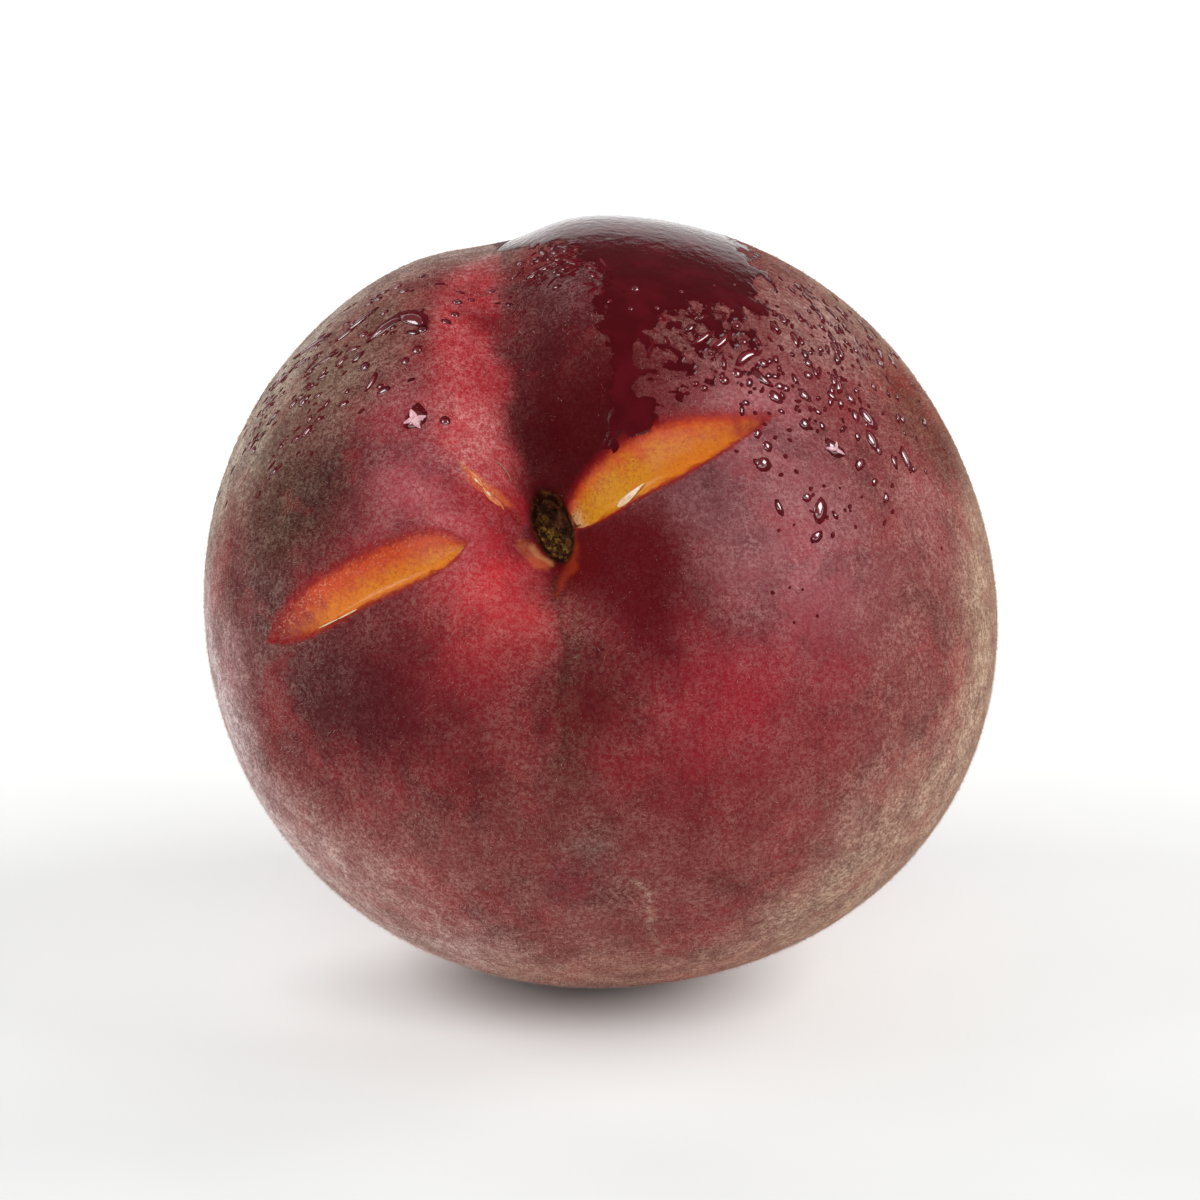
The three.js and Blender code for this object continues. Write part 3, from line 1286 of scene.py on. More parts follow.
@dataclass(frozen=True)
class ScarFinish:
    """Torn brown fibre with olive flecks."""

    shade: str = "30130a"
    bark: str = "623216"
    fleck: str = "a07a2c"

    def material(self) -> Material:
        """Builds the finish.

        Returns:
            The material.
        """
        g = Graph("stem scar")
        place = g.millimetres()
        bark = g.rise(g.noise(place, 0.9, 4.0, 0.65), 0.42, 0.62)
        colour = g.blend(bark, self.shade, self.bark)
        flecks = g.rise(g.noise(place, 1.7, 4.0, 0.7), 0.46, 0.66)
        flecks = g.times(flecks, g.attribute("olive"))
        g.set(Base_Color=g.blend(flecks, colour, self.fleck))
        g.set(Normal=g.bump(g.noise(place, 6.0, 3.0, 0.7), 0.6, 0.00015))
        g.set(Roughness=0.75, Specular_IOR_Level=0.2)
        return g.material


class DownTint(Enum):
    """The shades of the down, each a colour as shown on a screen."""

    PALE = "dcc6bc"
    KHAKI = "b4a084"
    ROSY = "b57a72"
    DUSKY = "74464a"


@dataclass(frozen=True)
class DownFinish:
    """Short hairs of one shade."""

    tint: DownTint

    def material(self) -> Material:
        """Builds the finish.

        Returns:
            The material.
        """
        g = Graph("down " + self.tint.name.lower())
        g.set(Base_Color=self.tint.value, Roughness=0.6, Specular_IOR_Level=0.3)
        return g.material


@dataclass(frozen=True)
class WaterFinish:
    """Water that has soaked through to the dark skin under it."""

    name: str
    colour: str
    cloud: str
    gloss: float
    roughness: float = 0.05
    bend_of_light: float = 1.4
    ripple: float = 0.0

    def material(self) -> Material:
        """Builds the finish.

        Returns:
            The material.
        """
        g = Graph(self.name)
        place = g.millimetres()
        clouds = g.rise(g.noise(place, 0.3, 3.0), 0.4, 0.7)
        g.set(Base_Color=g.blend(clouds, self.colour, self.cloud))
        g.set(Roughness=self.roughness, IOR=self.bend_of_light, Specular_IOR_Level=self.gloss)
        if self.ripple:
            g.set(Normal=g.bump(g.noise(place, 1.6, 4.0, 0.7), self.ripple, 0.0002))
        return g.material


@dataclass(frozen=True)
class FloorFinish:
    """Pale matt board whose glow is painted light: brighter behind the fruit, dimmer towards the
    front, and gone round where the fruit stands, which paints its shadow there.
    """

    colour: str = "e4e6e5"
    cloud_colour: str = "dadcda"
    glow_start: float = 60.0
    glow_end: float = 160.0
    near_glow: float = 0.29
    far_glow: float = 0.65
    front_start: float = -15.0
    front_end: float = -50.0
    front_loss: float = 0.6
    # Middle, stretch and reach of the painted shadow round the fruit's foot, in millimetres.
    shade: tuple[float, float] = (-6.0, -8.0)
    painted_shadow_shape: tuple[float, float] = (0.8, 1.5)
    painted_shadow_start: float = 4.0
    painted_shadow_end: float = 22.0

    def material(self) -> Material:
        """Builds the finish.

        Returns:
            The material.
        """
        g = Graph("floor board")
        place = g.millimetres()
        cloud = g.rise(g.noise(place, 0.02, 3.0), 0.3, 0.7, 0.5)
        g.set(Base_Color=g.blend(cloud, self.colour, self.cloud_colour))
        g.set(Emission_Color=(1, 1, 1, 1), Roughness=0.8, Specular_IOR_Level=0.2)
        # Painted shadow: the glow fades out inside a stretched oval round where the fruit stands.
        sides = g.node("SeparateXYZ", {0: place}).outputs
        squares = []
        for side, middle, scale in zip(("X", "Y"), self.shade, self.painted_shadow_shape):
            away = g.times(g.math("SUBTRACT", sides[side], middle), scale)
            squares.append(g.times(away, away))
        away = g.math("SQRT", g.plus(*squares))
        near = g.times(g.rise(away, self.painted_shadow_start, self.painted_shadow_end), self.near_glow)
        front = g.rise(sides["Y"], self.front_start, self.front_end)
        front = g.lerp(front, 1.0, 1 - self.front_loss)
        behind = g.rise(sides["Y"], self.glow_start, self.glow_end)
        # The board's glow is painted light; it is no lamp.
        g.set(Emission_Strength=g.lerp(behind, g.times(near, front), self.far_glow))
        return g.material


# ---------------------------------------------------------------------------------------------
# Pieces
# ---------------------------------------------------------------------------------------------


def finish_piece(mesh: Mesh, material: Material, smooth: bool = True) -> Object:
    """Puts a finished mesh in the scene as a piece of the fruit.

    Args:
        mesh: The mesh, placed in the row frame.
        material: Its only material.
        smooth: Whether its faces are shaded as one curve.

    Returns:
        The object, riding on the fruit's body.
    """
    mesh.materials.append(material)
    mesh.polygons.foreach_set("use_smooth", [smooth] * len(mesh.polygons))
    piece = bpy.data.objects.new(mesh.name, mesh)
    bpy.context.scene.collection.objects.link(piece)
    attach(piece, BODY)
    mesh.calc_loop_triangles()
    LOG.info("%s: %d triangles", piece.name, len(mesh.loop_triangles))
    return piece


def mesh_from(bm: bmesh.types.BMesh, name: str) -> Mesh:
    """Turns a bmesh into a mesh and frees it.

    Args:
        bm: The shape, which can't be used afterwards.
        name: The mesh's name.

    Returns:
        The mesh.
    """
    mesh = bpy.data.meshes.new(name)
    bm.to_mesh(mesh)
    bm.free()
    return mesh


def slab(name: str, along: int, across: int) -> Mesh:
    """A finely divided top from -1 to 1 at height 0, closed by a skirt and a base at -1.

    Args:
        name: The mesh's name.
        along: Cells along X.
        across: Cells along Y.

    Returns:
        The mesh, with its faces outwards.
    """
    bm = bmesh.new()
    bmesh.ops.create_grid(bm, x_segments=along, y_segments=across, size=1)
    rim = [e for e in bm.edges if e.is_boundary]
    skirt = bmesh.ops.extrude_edge_only(bm, edges=rim)["geom"]
    lowered = [v for v in skirt if isinstance(v, bmesh.types.BMVert)]
    bmesh.ops.translate(bm, verts=lowered, vec=(0, 0, -1))
    base = [e for e in skirt if isinstance(e, bmesh.types.BMEdge)]
    bmesh.ops.holes_fill(bm, edges=base, sides=0)
    bmesh.ops.recalc_face_normals(bm, faces=bm.faces[:])
    return mesh_from(bm, name)


def read_points(mesh: Mesh) -> Array:
    """The mesh's vertices, one a row.

    Args:
        mesh: The mesh.

    Returns:
        Its vertices' places.
    """
    found = np.empty(len(mesh.vertices) * 3)
    mesh.vertices.foreach_get("co", found)
    return found.reshape(-1, 3)


def repeat_shape(name: str, shape: Mesh, placed: Array) -> Mesh:
    """One mesh holding many copies of a small shape.

    Args:
        name: The new mesh's name.
        shape: The shape, whose faces are repeated. It is removed.
        placed: The vertices of each copy, copies by vertices by 3.

    Returns:
        The mesh.
    """
    copies, corners = placed.shape[:2]
    loops = np.empty(len(shape.loops), np.int64)
    shape.loops.foreach_get("vertex_index", loops)
    totals = np.empty(len(shape.polygons), np.int64)
    shape.polygons.foreach_get("loop_total", totals)
    bpy.data.meshes.remove(shape)
    mesh = bpy.data.meshes.new(name)
    mesh.vertices.add(copies * corners)
    mesh.vertices.foreach_set("co", placed.ravel())
    mesh.loops.add(copies * len(loops))
    shifts = np.arange(copies)[:, None] * corners
    mesh.loops.foreach_set("vertex_index", (loops[None, :] + shifts).ravel())
    mesh.polygons.add(copies * len(totals))
    starts = np.concatenate([[0], np.cumsum(np.tile(totals, copies))[:-1]])
    mesh.polygons.foreach_set("loop_start", starts)
    mesh.update(calc_edges=True)
    return mesh


@dataclass
class PeachSkin:
    """The whole skin, as one closed surface grown from a cube."""

    cuts: int = 119
    side_room: float = 0.96  # share of its cell that each side fills when laid out
    stem_crowding: float = 0.6
    lump_height: float = 0.05
    lump_scale: float = 0.35

    def grid(self) -> Mesh:
        """A finely divided cube, from -1 to 1.

        Returns:
            Its mesh.
        """
        bm = bmesh.new()
        bmesh.ops.create_cube(bm, size=2)
        bmesh.ops.subdivide_edges(bm, edges=bm.edges[:], cuts=self.cuts, use_grid_fill=True)
        return mesh_from(bm, "peach_skin")

    def directions(self, cube: Array) -> Array:
        """Spreads the cube's vertices over all directions, closer together at the stem end.

        Args:
            cube: The vertices, one a row.

        Returns:
            Unit vectors in the fruit's frame, one a row.
        """
        rounded = unit(np.tan(cube * math.pi / 4))
        share = np.arccos(np.clip(rounded[:, 2], -1, 1)) / math.pi
        polar = math.pi * (self.stem_crowding * share + (1 - self.stem_crowding) * share**2)
        bearing = np.arctan2(rounded[:, 1], rounded[:, 0])
        around = np.stack([np.cos(bearing), np.sin(bearing)], -1) * np.sin(polar)[:, None]
        return np.column_stack([around, np.cos(polar)])

    def unwrap(self, mesh: Mesh, cube: Array) -> None:
        """Lays the six sides of the cube out in two rows of three.

        Args:
            mesh: The cube.
            cube: Its vertices, one a row.
        """
        corners = np.empty(len(mesh.loops), np.int64)
        mesh.loops.foreach_get("vertex_index", corners)
        sides = corners.reshape(-1, 4)
        middles = cube[sides].mean(1)
        axis = np.abs(middles).argmax(1)
        positive = np.take_along_axis(middles, axis[:, None], 1)[:, 0] > 0
        flat = np.array([[1, 2], [2, 0], [0, 1]])[axis]
        corner = cube[sides]
        u = np.take_along_axis(corner, flat[:, None, :1].repeat(4, 1), 2)[..., 0]
        v = np.take_along_axis(corner, flat[:, None, 1:].repeat(4, 1), 2)[..., 0]
        u = (axis[:, None] + 0.5 + u * self.side_room / 2) / 3
        v = (positive[:, None] + 0.5 + v * self.side_room / 2) / 2
        layer = mesh.uv_layers.new(name="OFBake")
        layer.data.foreach_set("uv", np.stack([u, v], -1).ravel())

    def build(self, fruit: Fruit, paint: SkinPaint, water: WetShoulder, down: Down) -> Object:
        """Makes the skin and gives it what its finish reads.

        Args:
            fruit: The surface to follow.
            paint: The skin's colours.
            water: Where it is wet.
            down: Where it is furred.

        Returns:
            The piece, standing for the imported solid.
        """
        mesh = self.grid()
        cube = read_points(mesh)
        self.unwrap(mesh, cube)
        directions = self.directions(cube)
        at = fruit.form.places(directions)
        lumps = turbulence(directions * fruit.form.mean_radius, self.lump_scale, 3, 7.0)
        placed = fruit.points(directions, self.lump_height * lumps)
        mesh.vertices.foreach_set("co", placed.ravel())
        skin, coat = paint.coats(at, fruit.form)
        self.record(mesh, "paint", skin, "FLOAT_COLOR", "color")
        self.record(mesh, "coat", coat, "FLOAT_COLOR", "color")
        self.record(mesh, "film", water.film(at))
        self.record(mesh, "down", down.density(at, fruit.form, water))
        self.record(mesh, "scar", fruit.form.scar_share(at))
        self.record_marks(mesh, at, fruit.form.marks)
        piece = finish_piece(mesh, SkinFinish().material())
        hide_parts(NODE)
        return piece

    def record(
        self,
        mesh: Mesh,
        name: str,
        values: Array,
        kind: str = "FLOAT",
        field_name: str = "value",
    ) -> None:
        """Writes one value a vertex.

        Args:
            mesh: The mesh.
            name: What the finish reads it by.
            values: One value or row a vertex.
            kind: Its type.
            field_name: The part of it that is set.
        """
        layer = mesh.attributes.new(name, kind, "POINT")
        layer.data.foreach_set(field_name, np.ascontiguousarray(values, np.float32).ravel())

    def record_marks(self, mesh: Mesh, at: Places, marks: tuple[BranchMark, ...]) -> None:
        """Writes how far inside the nearest branch mark each vertex is, and where in it.

        Args:
            mesh: The mesh.
            at: Its vertices' places.
            marks: The branch marks.
        """
        inside, along, upper, red = (np.full(at.polar.shape, v) for v in (OUTSIDE, 0.0, 0.0, 0.0))
        for mark in marks:
            length = mark.along(at.x, at.y)
            width = mark.half_width * mark.taper(at.x, at.y)
            reached = width - np.abs(mark.across(at.x, at.y))
            past = np.maximum(0, np.abs(length) - 1) * (mark.far - mark.near) / 2
            reached = np.where(at.stem_side, reached - past, OUTSIDE)
            nearer = reached > inside
            inside = np.where(nearer, reached, inside)
            along = np.where(nearer, np.maximum(length, mark.colour_start), along)
            upper = np.where(nearer, mark.share(at.x, at.y), upper)
            red = np.where(nearer, mark.redness, red)
        self.record(mesh, "mark_inside", inside)
        self.record(mesh, "mark_along", along)
        self.record(mesh, "mark_upper", np.clip(upper, -2, 2))
        self.record(mesh, "mark_red", red)


@dataclass(frozen=True)
class Growth:
    """Where the hairs stand: in the down, and thinly where its paint hardly covers the skin."""

    down: Down
    water: WetShoulder
    paint: SkinPaint
    full_cover: float = 0.17
    least: float = 0.12

    def density(self, at: Places, form: PeachForm) -> Array:
        """The share of hairs that stand at each place, from 0 to 1.

        Args:
            at: Places on the skin.
            form: The fruit's form.

        Returns:
            One share a place.
        """
        cover = self.paint.coats(at, form)[1][:, 3]
        full = np.clip(cover / self.full_cover, self.least, 1)
        return self.down.density(at, form, self.water) * full


@dataclass
class Hairs:
    """One shade of the down: thousands of short leaning hairs in a single piece."""

    name: str
    tint: DownTint
    count: int
    seed: int
    homes: tuple[Spot, ...] = ()
    background: float = 0.3
    radius: float = 0.012
    sunk: float = 0.02
    shortest: float = 0.14
    longest: float = 0.42
    least_lean_deg: float = 10
    most_lean_deg: float = 65
    swirl: float = 2.4
    swirl_scale: float = 9.0
    unruliness: float = 0.7

    def share(self, at: Places) -> Array:
        """How likely a hair of this shade is, from 0 to 1.

        Args:
            at: Places on the skin.

        Returns:
            One chance a place.
        """
        share = np.full(at.polar.shape, self.background)
        for home in self.homes:
            share = np.maximum(share, home.weight(at))
        return share

    def roots(self, rng: np.random.Generator, fruit: Fruit, growth: Growth) -> Array:
        """Directions of the hairs' roots, thick where the down is thick.

        Args:
            rng: Seeded source of chance.
            fruit: The surface they stand on.
            growth: Where and how thickly down stands.

        Returns:
            Unit vectors in the fruit's frame, one a row.
        """
        kept = np.empty((0, 3))
        while len(kept) < self.count:
            tried = unit(rng.normal(size=(self.count, 3)))
            tried = tried[rng.random(self.count) < self.share(fruit.form.places(tried))]
            chance = growth.density(fruit.form.places(tried), fruit.form)
            kept = np.concatenate([kept, tried[rng.random(len(tried)) < chance]])
        return kept[: self.count]

    def spike(self) -> Mesh:
        """One hair: a closed three-sided spike of unit size, standing on its base.

        Returns:
            Its mesh.
        """
        bm = bmesh.new()
        bmesh.ops.create_cone(
            bm, cap_ends=True, cap_tris=False, segments=3, radius1=1, radius2=0, depth=1
        )
        bmesh.ops.translate(bm, verts=bm.verts[:], vec=(0, 0, 0.5))
        return mesh_from(bm, "spike")

    def build(self, fruit: Fruit, growth: Growth) -> Object:
        """Grows the hairs.

        Args:
            fruit: The surface they stand on.
            growth: Where and how thickly down stands.

        Returns:
            The piece.
        """
        rng = np.random.default_rng(self.seed)
        roots = self.roots(rng, fruit, growth)
        along, around, out = fruit.frames(roots)
        lean = np.radians(rng.uniform(self.least_lean_deg, self.most_lean_deg, self.count))
        swirl = self.swirl * turbulence(roots, self.swirl_scale, 2, self.seed)
        swirl += rng.normal(0, self.unruliness, self.count)
        flat = along * np.cos(swirl)[:, None] + around * np.sin(swirl)[:, None]
        axis = out * np.cos(lean)[:, None] + flat * np.sin(lean)[:, None]
        side = unit(np.cross(axis, around))
        other = np.cross(axis, side)
        length = rng.uniform(self.shortest, self.longest, self.count)[:, None, None] * MM
        spike = self.spike()
        shape = read_points(spike)
        width = self.radius * MM
        base = fruit.points(roots, -self.sunk)[:, None, :]
        placed = base + axis[:, None, :] * shape[None, :, 2:] * length
        placed += side[:, None, :] * shape[None, :, :1] * width
        placed += other[:, None, :] * shape[None, :, 1:2] * width
        placed[..., 2] = np.maximum(placed[..., 2], self.sunk * MM)
        mesh = repeat_shape(self.name, spike, placed)
        return finish_piece(mesh, DownFinish(self.tint).material(), smooth=False)


@dataclass
class WaterFilm:
    """The film of water as its own thin body, which dips under the skin where it is dry."""

    finish: WaterFinish = WaterFinish("water film", "48050c", "560a14", gloss=0.42, ripple=0.22)
    middle: tuple[float, float] = (48.0, -27.0)
    half_length: float = 23.6
    half_width: float = 16.0
    cell: float = 0.165
    thickness: float = 0.07
    sunk: float = 0.11
    edge: float = 0.75
    dry_edge: float = 1.3
    start_share: float = 0.15
    ripple: float = 0.02
    root_depth: float = 1.5

    def build(self, fruit: Fruit, water: WetShoulder) -> Object:
        """Makes the film.

        Args:
            fruit: The surface that it lies on.
            water: Its outline.

        Returns:
            The piece.
        """
        size = (self.half_length, self.half_width)
        mesh = slab("water_film", *(round(2 * s / self.cell) for s in size))
        flat = read_points(mesh)
        centre = toward(*self.middle)[None]
        down, around = fruit.tangents(centre)
        reach = flat[:, :2] * np.array(size) / fruit.form.mean_radius
        directions = unit(centre + np.tan(reach[:, :1]) * down + np.tan(reach[:, 1:]) * around)
        at = fruit.form.places(directions)
        film = water.film(at)
        wet = self.thickness * np.tanh(np.maximum(film, 0) / self.edge)
        wet *= self.start_share + (1 - self.start_share) * smoothstep(at.polar_deg, 20, 34)
        dry = self.sunk * np.tanh(np.minimum(film, 0) / self.dry_edge)
        ripple = self.ripple * turbulence(directions * fruit.form.mean_radius, 1.1, 3, 5.0)
        lift = wet + dry + ripple * (film > 0)
        lift = np.where(flat[:, 2] < 0, -self.root_depth, lift)
        mesh.vertices.foreach_set("co", fruit.points(directions, lift).ravel())
        return finish_piece(mesh, self.finish.material())


@dataclass(frozen=True)
class Drop:
    """One drop of water: where it sits, how big it is and which way it runs."""

    polar_deg: float
    bearing_deg: float
    length: float
    width: float
    turn_deg: float = 0.0
    bend: float = 0.0


@dataclass(frozen=True)
class Splash:
    """Scattered small drops round a spot, drawn out along one lie."""

    spot: Spot
    count: int
    smallest: float
    largest: float
    drawn_out: float = 1.5
    turn_deg: float = 0.0
    turn_spread_deg: float = 60.0


@dataclass
class WaterDrops:
    """Beads of water held by the down, each in its own dark damp patch."""

    finish: WaterFinish = WaterFinish(
        "water drops", "72101c", "5a0812", gloss=1.0, roughness=0.14, bend_of_light=1.85
    )
    drops: tuple[Drop, ...] = (
        # The right shoulder.
        Drop(40, -61, 1.32, 0.41, turn_deg=3, bend=-0.6),
        Drop(39.5, -67, 1, 0.39, turn_deg=-78, bend=0.3),
        Drop(39.5, -72.5, 0.64, 0.46, turn_deg=-68),
        Drop(37, -51, 1.32, 0.28, turn_deg=-7),
        Drop(39, -54.5, 1.42, 0.28, turn_deg=6, bend=0.5),
        Drop(37.5, -47, 0.57, 0.28, turn_deg=-8),
        Drop(40.5, -47, 0.78, 0.22, turn_deg=-10),
        Drop(36, -59.5, 0.62, 0.23, turn_deg=50),
        Drop(30.5, -42.5, 0.89, 0.19, turn_deg=19, bend=0.4),
        Drop(33, -45, 0.52, 0.19, turn_deg=54),
        Drop(48.5, -43.5, 0.37, 0.21, turn_deg=-58),
        Drop(51.5, -46, 0.28, 0.22),
        Drop(40.5, -30.5, 0.38, 0.36),
        Drop(36, -32, 0.34, 0.3),
        Drop(43.5, -39.5, 0.3, 0.25),
        Drop(38, -37.5, 0.32, 0.28),
        Drop(36.5, -40, 0.36, 0.19, turn_deg=65),
        Drop(43.5, -53.5, 0.3, 0.25),
        Drop(44, -59, 0.45, 0.21, turn_deg=70),
        Drop(43.5, -48.5, 0.68, 0.21, turn_deg=-53),
        Drop(41, -100.5, 0.99, 0.52, turn_deg=75),
        Drop(45.5, -86.5, 0.88, 0.58, turn_deg=-42, bend=0.4),
        Drop(57, -89, 0.55, 0.28, turn_deg=-83),
        Drop(60, -88, 1.03, 0.41, turn_deg=-80),
        Drop(33, -89, 0.58, 0.58),
        Drop(34.5, -84.5, 0.44, 0.34, turn_deg=-69),
        Drop(44.5, -74, 0.58, 0.39, turn_deg=-77, bend=0.3),
        Drop(49.5, -75.5, 0.47, 0.28, turn_deg=-66),
        Drop(53, -76.5, 0.48, 0.34, turn_deg=-82),
        Drop(42, -80.5, 0.46, 0.46),
        Drop(34.5, -101, 0.6, 0.25, turn_deg=-67),
        Drop(39, -98, 0.36, 0.33),
        Drop(49, -67.5, 0.4, 0.39),
        Drop(47.5, -70, 0.38, 0.36),
        Drop(36.5, -63.5, 0.42, 0.41),
        Drop(41.5, -64, 0.42, 0.41),
        Drop(34, -63.5, 0.37, 0.34),
        Drop(30.5, -62.5, 0.3, 0.25),
        Drop(30, -60, 0.28, 0.22),
        Drop(34.5, -71.5, 0.32, 0.28),
        Drop(54.5, -80.5, 0.96, 0.58, turn_deg=-71),
        Drop(53.5, -85, 1.01, 0.52, turn_deg=-80),
        # Curled water on the crown.
        Drop(46, -11, 1.05, 0.21, turn_deg=69, bend=0.4),
        Drop(45.5, -15, 1.22, 0.22, turn_deg=46),
        Drop(42.5, -15, 0.83, 0.21, turn_deg=-58, bend=0.4),
        Drop(49.5, -2.5, 0.59, 0.25, turn_deg=-60),
        Drop(44, -8.5, 0.45, 0.19, turn_deg=-86),
        Drop(41.5, -11.5, 0.54, 0.19, turn_deg=-45),
        Drop(44.5, -19, 0.76, 0.22, turn_deg=77),
        Drop(45.5, -21.5, 1.22, 0.23, turn_deg=32),
        Drop(50.5, -12.5, 1.42, 0.22, turn_deg=35),
        Drop(38, -24, 0.55, 0.19, turn_deg=-13),
        Drop(36.5, -26.5, 0.29, 0.23),
        Drop(38.5, -21.5, 0.45, 0.18, turn_deg=-36),
        Drop(51.5, -8.5, 1.12, 0.21, turn_deg=23),
        # The left shoulder.
        Drop(44.5, 25, 1.82, 0.58, turn_deg=88, bend=0.5),
        Drop(42.5, 20, 1.62, 0.69, turn_deg=22, bend=0.3),
        Drop(26, 38.5, 1.03, 0.69, turn_deg=-82, bend=0.6),
        Drop(39, 19.5, 0.42, 0.41),
        Drop(35.5, 23.5, 0.4, 0.39),
        Drop(35, 27.5, 0.37, 0.34),
        Drop(40.5, 34.5, 0.42, 0.41),
        Drop(54.5, 18.5, 0.34, 0.3),
        Drop(48.5, 46.5, 0.47, 0.47),
        Drop(44, 10, 0.37, 0.34),
        Drop(40.5, 11.5, 0.37, 0.34),
        Drop(22.5, 32.5, 0.37, 0.34),
        Drop(55, 14, 0.32, 0.28),
        Drop(44.5, 49.5, 0.32, 0.28),
        Drop(57, 56.5, 0.37, 0.34),
        Drop(37, 36.5, 0.88, 0.28, turn_deg=-72, bend=0.5),
        Drop(51.5, 27.5, 1.52, 0.36, turn_deg=82),
        Drop(51.5, 31.5, 1.11, 0.28, turn_deg=70),
        Drop(59, 36, 2.32, 0.3, turn_deg=38),
        Drop(61, 43, 1.62, 0.28, turn_deg=44),
        Drop(50.5, 37.5, 1.22, 0.22, turn_deg=48),
    )
    splashes: tuple[Splash, ...] = (
        Splash(Spot(38, -70, 9, stretch=1.5, turn_deg=-84), 60, 0.13, 0.32),
        Splash(Spot(54, -80, 11, stretch=1.4, turn_deg=65), 60, 0.14, 0.36, 2.2, 55, 25),
        Splash(Spot(58, -62, 9, stretch=1.4), 130, 0.15, 0.34, 2.8, 62, 20),
        Splash(Spot(47, 36, 9, stretch=1.4, turn_deg=89), 60, 0.14, 0.32, 2.2, 60, 25),
        Splash(Spot(57, 46, 10, stretch=1.3), 90, 0.13, 0.26, 3.4, 46, 12),
        Splash(Spot(48, -15, 6, stretch=1.2, turn_deg=80), 110, 0.12, 0.28, 2.6, 60, 30),
        Splash(Spot(40, -104, 11), 20, 0.1, 0.2),
    )
    damp: WaterFinish = WaterFinish("damp down", "5e0914", "4a0710", gloss=0.1, roughness=0.6)
    damp_reach: float = 1.35
    damp_shift: float = 0.25
    damp_height: float = 0.07
    height_share: float = 0.55
    sunk_share: float = 0.2
    top_flatness: float = 1.4
    swell: float = 0.22
    off_film: float = 0.3
    mostly_small: float = 2.5
    tries: int = 400
    seed: int = 11

    def scattered(
        self, rng: np.random.Generator, form: PeachForm, water: WetShoulder
    ) -> list[Drop]:
        """The splashes' drops, none of them on the film or on a branch mark.

        Args:
            rng: Seeded source of chance.
            form: The fruit's form.
            water: The film.

        Returns:
            The drops.
        """
        found = []
        for splash in self.splashes:
            placed = 0
            while placed < splash.count:
                tried = unit(rng.normal(size=(self.tries, 3)))
                at = form.places(tried)
                dry = water.film(at) < -self.off_film
                bare = np.zeros(len(tried), bool)
                for mark in form.marks:
                    beside = np.abs(mark.share(at.x, at.y)) < 1.3
                    bare |= beside & (np.abs(mark.along(at.x, at.y)) < 1.1)
                chosen = dry & ~bare & (rng.random(len(tried)) < splash.spot.weight(at))
                for i in np.flatnonzero(chosen)[: splash.count - placed]:
                    growth = rng.random() ** self.mostly_small
                    size = splash.smallest + (splash.largest - splash.smallest) * growth
                    found.append(
                        Drop(
                            float(at.polar_deg[i]),
                            math.degrees(at.bearing[i]),
                            size * rng.uniform(1.0, splash.drawn_out),
                            size,
                            turn_deg=splash.turn_deg + rng.uniform(-1, 1) * splash.turn_spread_deg,
                            bend=rng.uniform(-0.4, 0.4),
                        )
                    )
                    placed += 1
        return found

    def all_drops(self, form: PeachForm, water: WetShoulder) -> list[Drop]:
        """Every drop, the placed ones first."""
        return [*self.drops, *self.scattered(np.random.default_rng(self.seed), form, water)]

    def build(self, fruit: Fruit, drops: list[Drop]) -> Object:
        """Makes the beads.

        Args:
            fruit: The surface that they sit on.
            drops: All of them.

        Returns:
            The piece.
        """
        bm = bmesh.new()
        bmesh.ops.create_icosphere(bm, subdivisions=2, radius=1)
        bead = mesh_from(bm, "bead")
        shape = read_points(bead)
        dome = np.maximum(shape[:, 2], 0)
        flattened = np.where(shape[:, 2] > 0, 1 - (1 - dome) ** self.top_flatness, shape[:, 2])
        spots = np.array([toward(d.polar_deg, d.bearing_deg) for d in drops])
        along, around, out = fruit.frames(spots)
        base = fruit.points(spots)
        placed = np.empty((len(drops), len(shape), 3))
        damp = np.empty_like(placed)
        for i, drop in enumerate(drops):
            turn = math.radians(drop.turn_deg)
            length = along[i] * math.cos(turn) + around[i] * math.sin(turn)
            width = around[i] * math.cos(turn) - along[i] * math.sin(turn)
            swell = 1 + self.swell * turbulence(shape, 0.9, 2, i * 1.7)
            u = shape[:, 0] * drop.length * swell
            v = shape[:, 1] * drop.width * swell + drop.bend * (shape[:, 0] ** 2 - 0.4) * drop.width
            w = (flattened * self.height_share - self.sunk_share) * drop.width
            lifted = u[:, None] * length + v[:, None] * width + w[:, None] * out[i]
            placed[i] = base[i] + lifted * MM
            spread = self.damp_reach * (u[:, None] * length + v[:, None] * width)
            spread += self.damp_shift * drop.width * (along[i] - around[i])
            damp[i] = base[i] + (spread + self.damp_height * shape[:, 2:] * out[i]) * MM
        patches = repeat_shape("damp_patches", bead.copy(), damp)
        finish_piece(patches, self.damp.material())
        mesh = repeat_shape("water_drops", bead, placed)
        return finish_piece(mesh, self.finish.material())


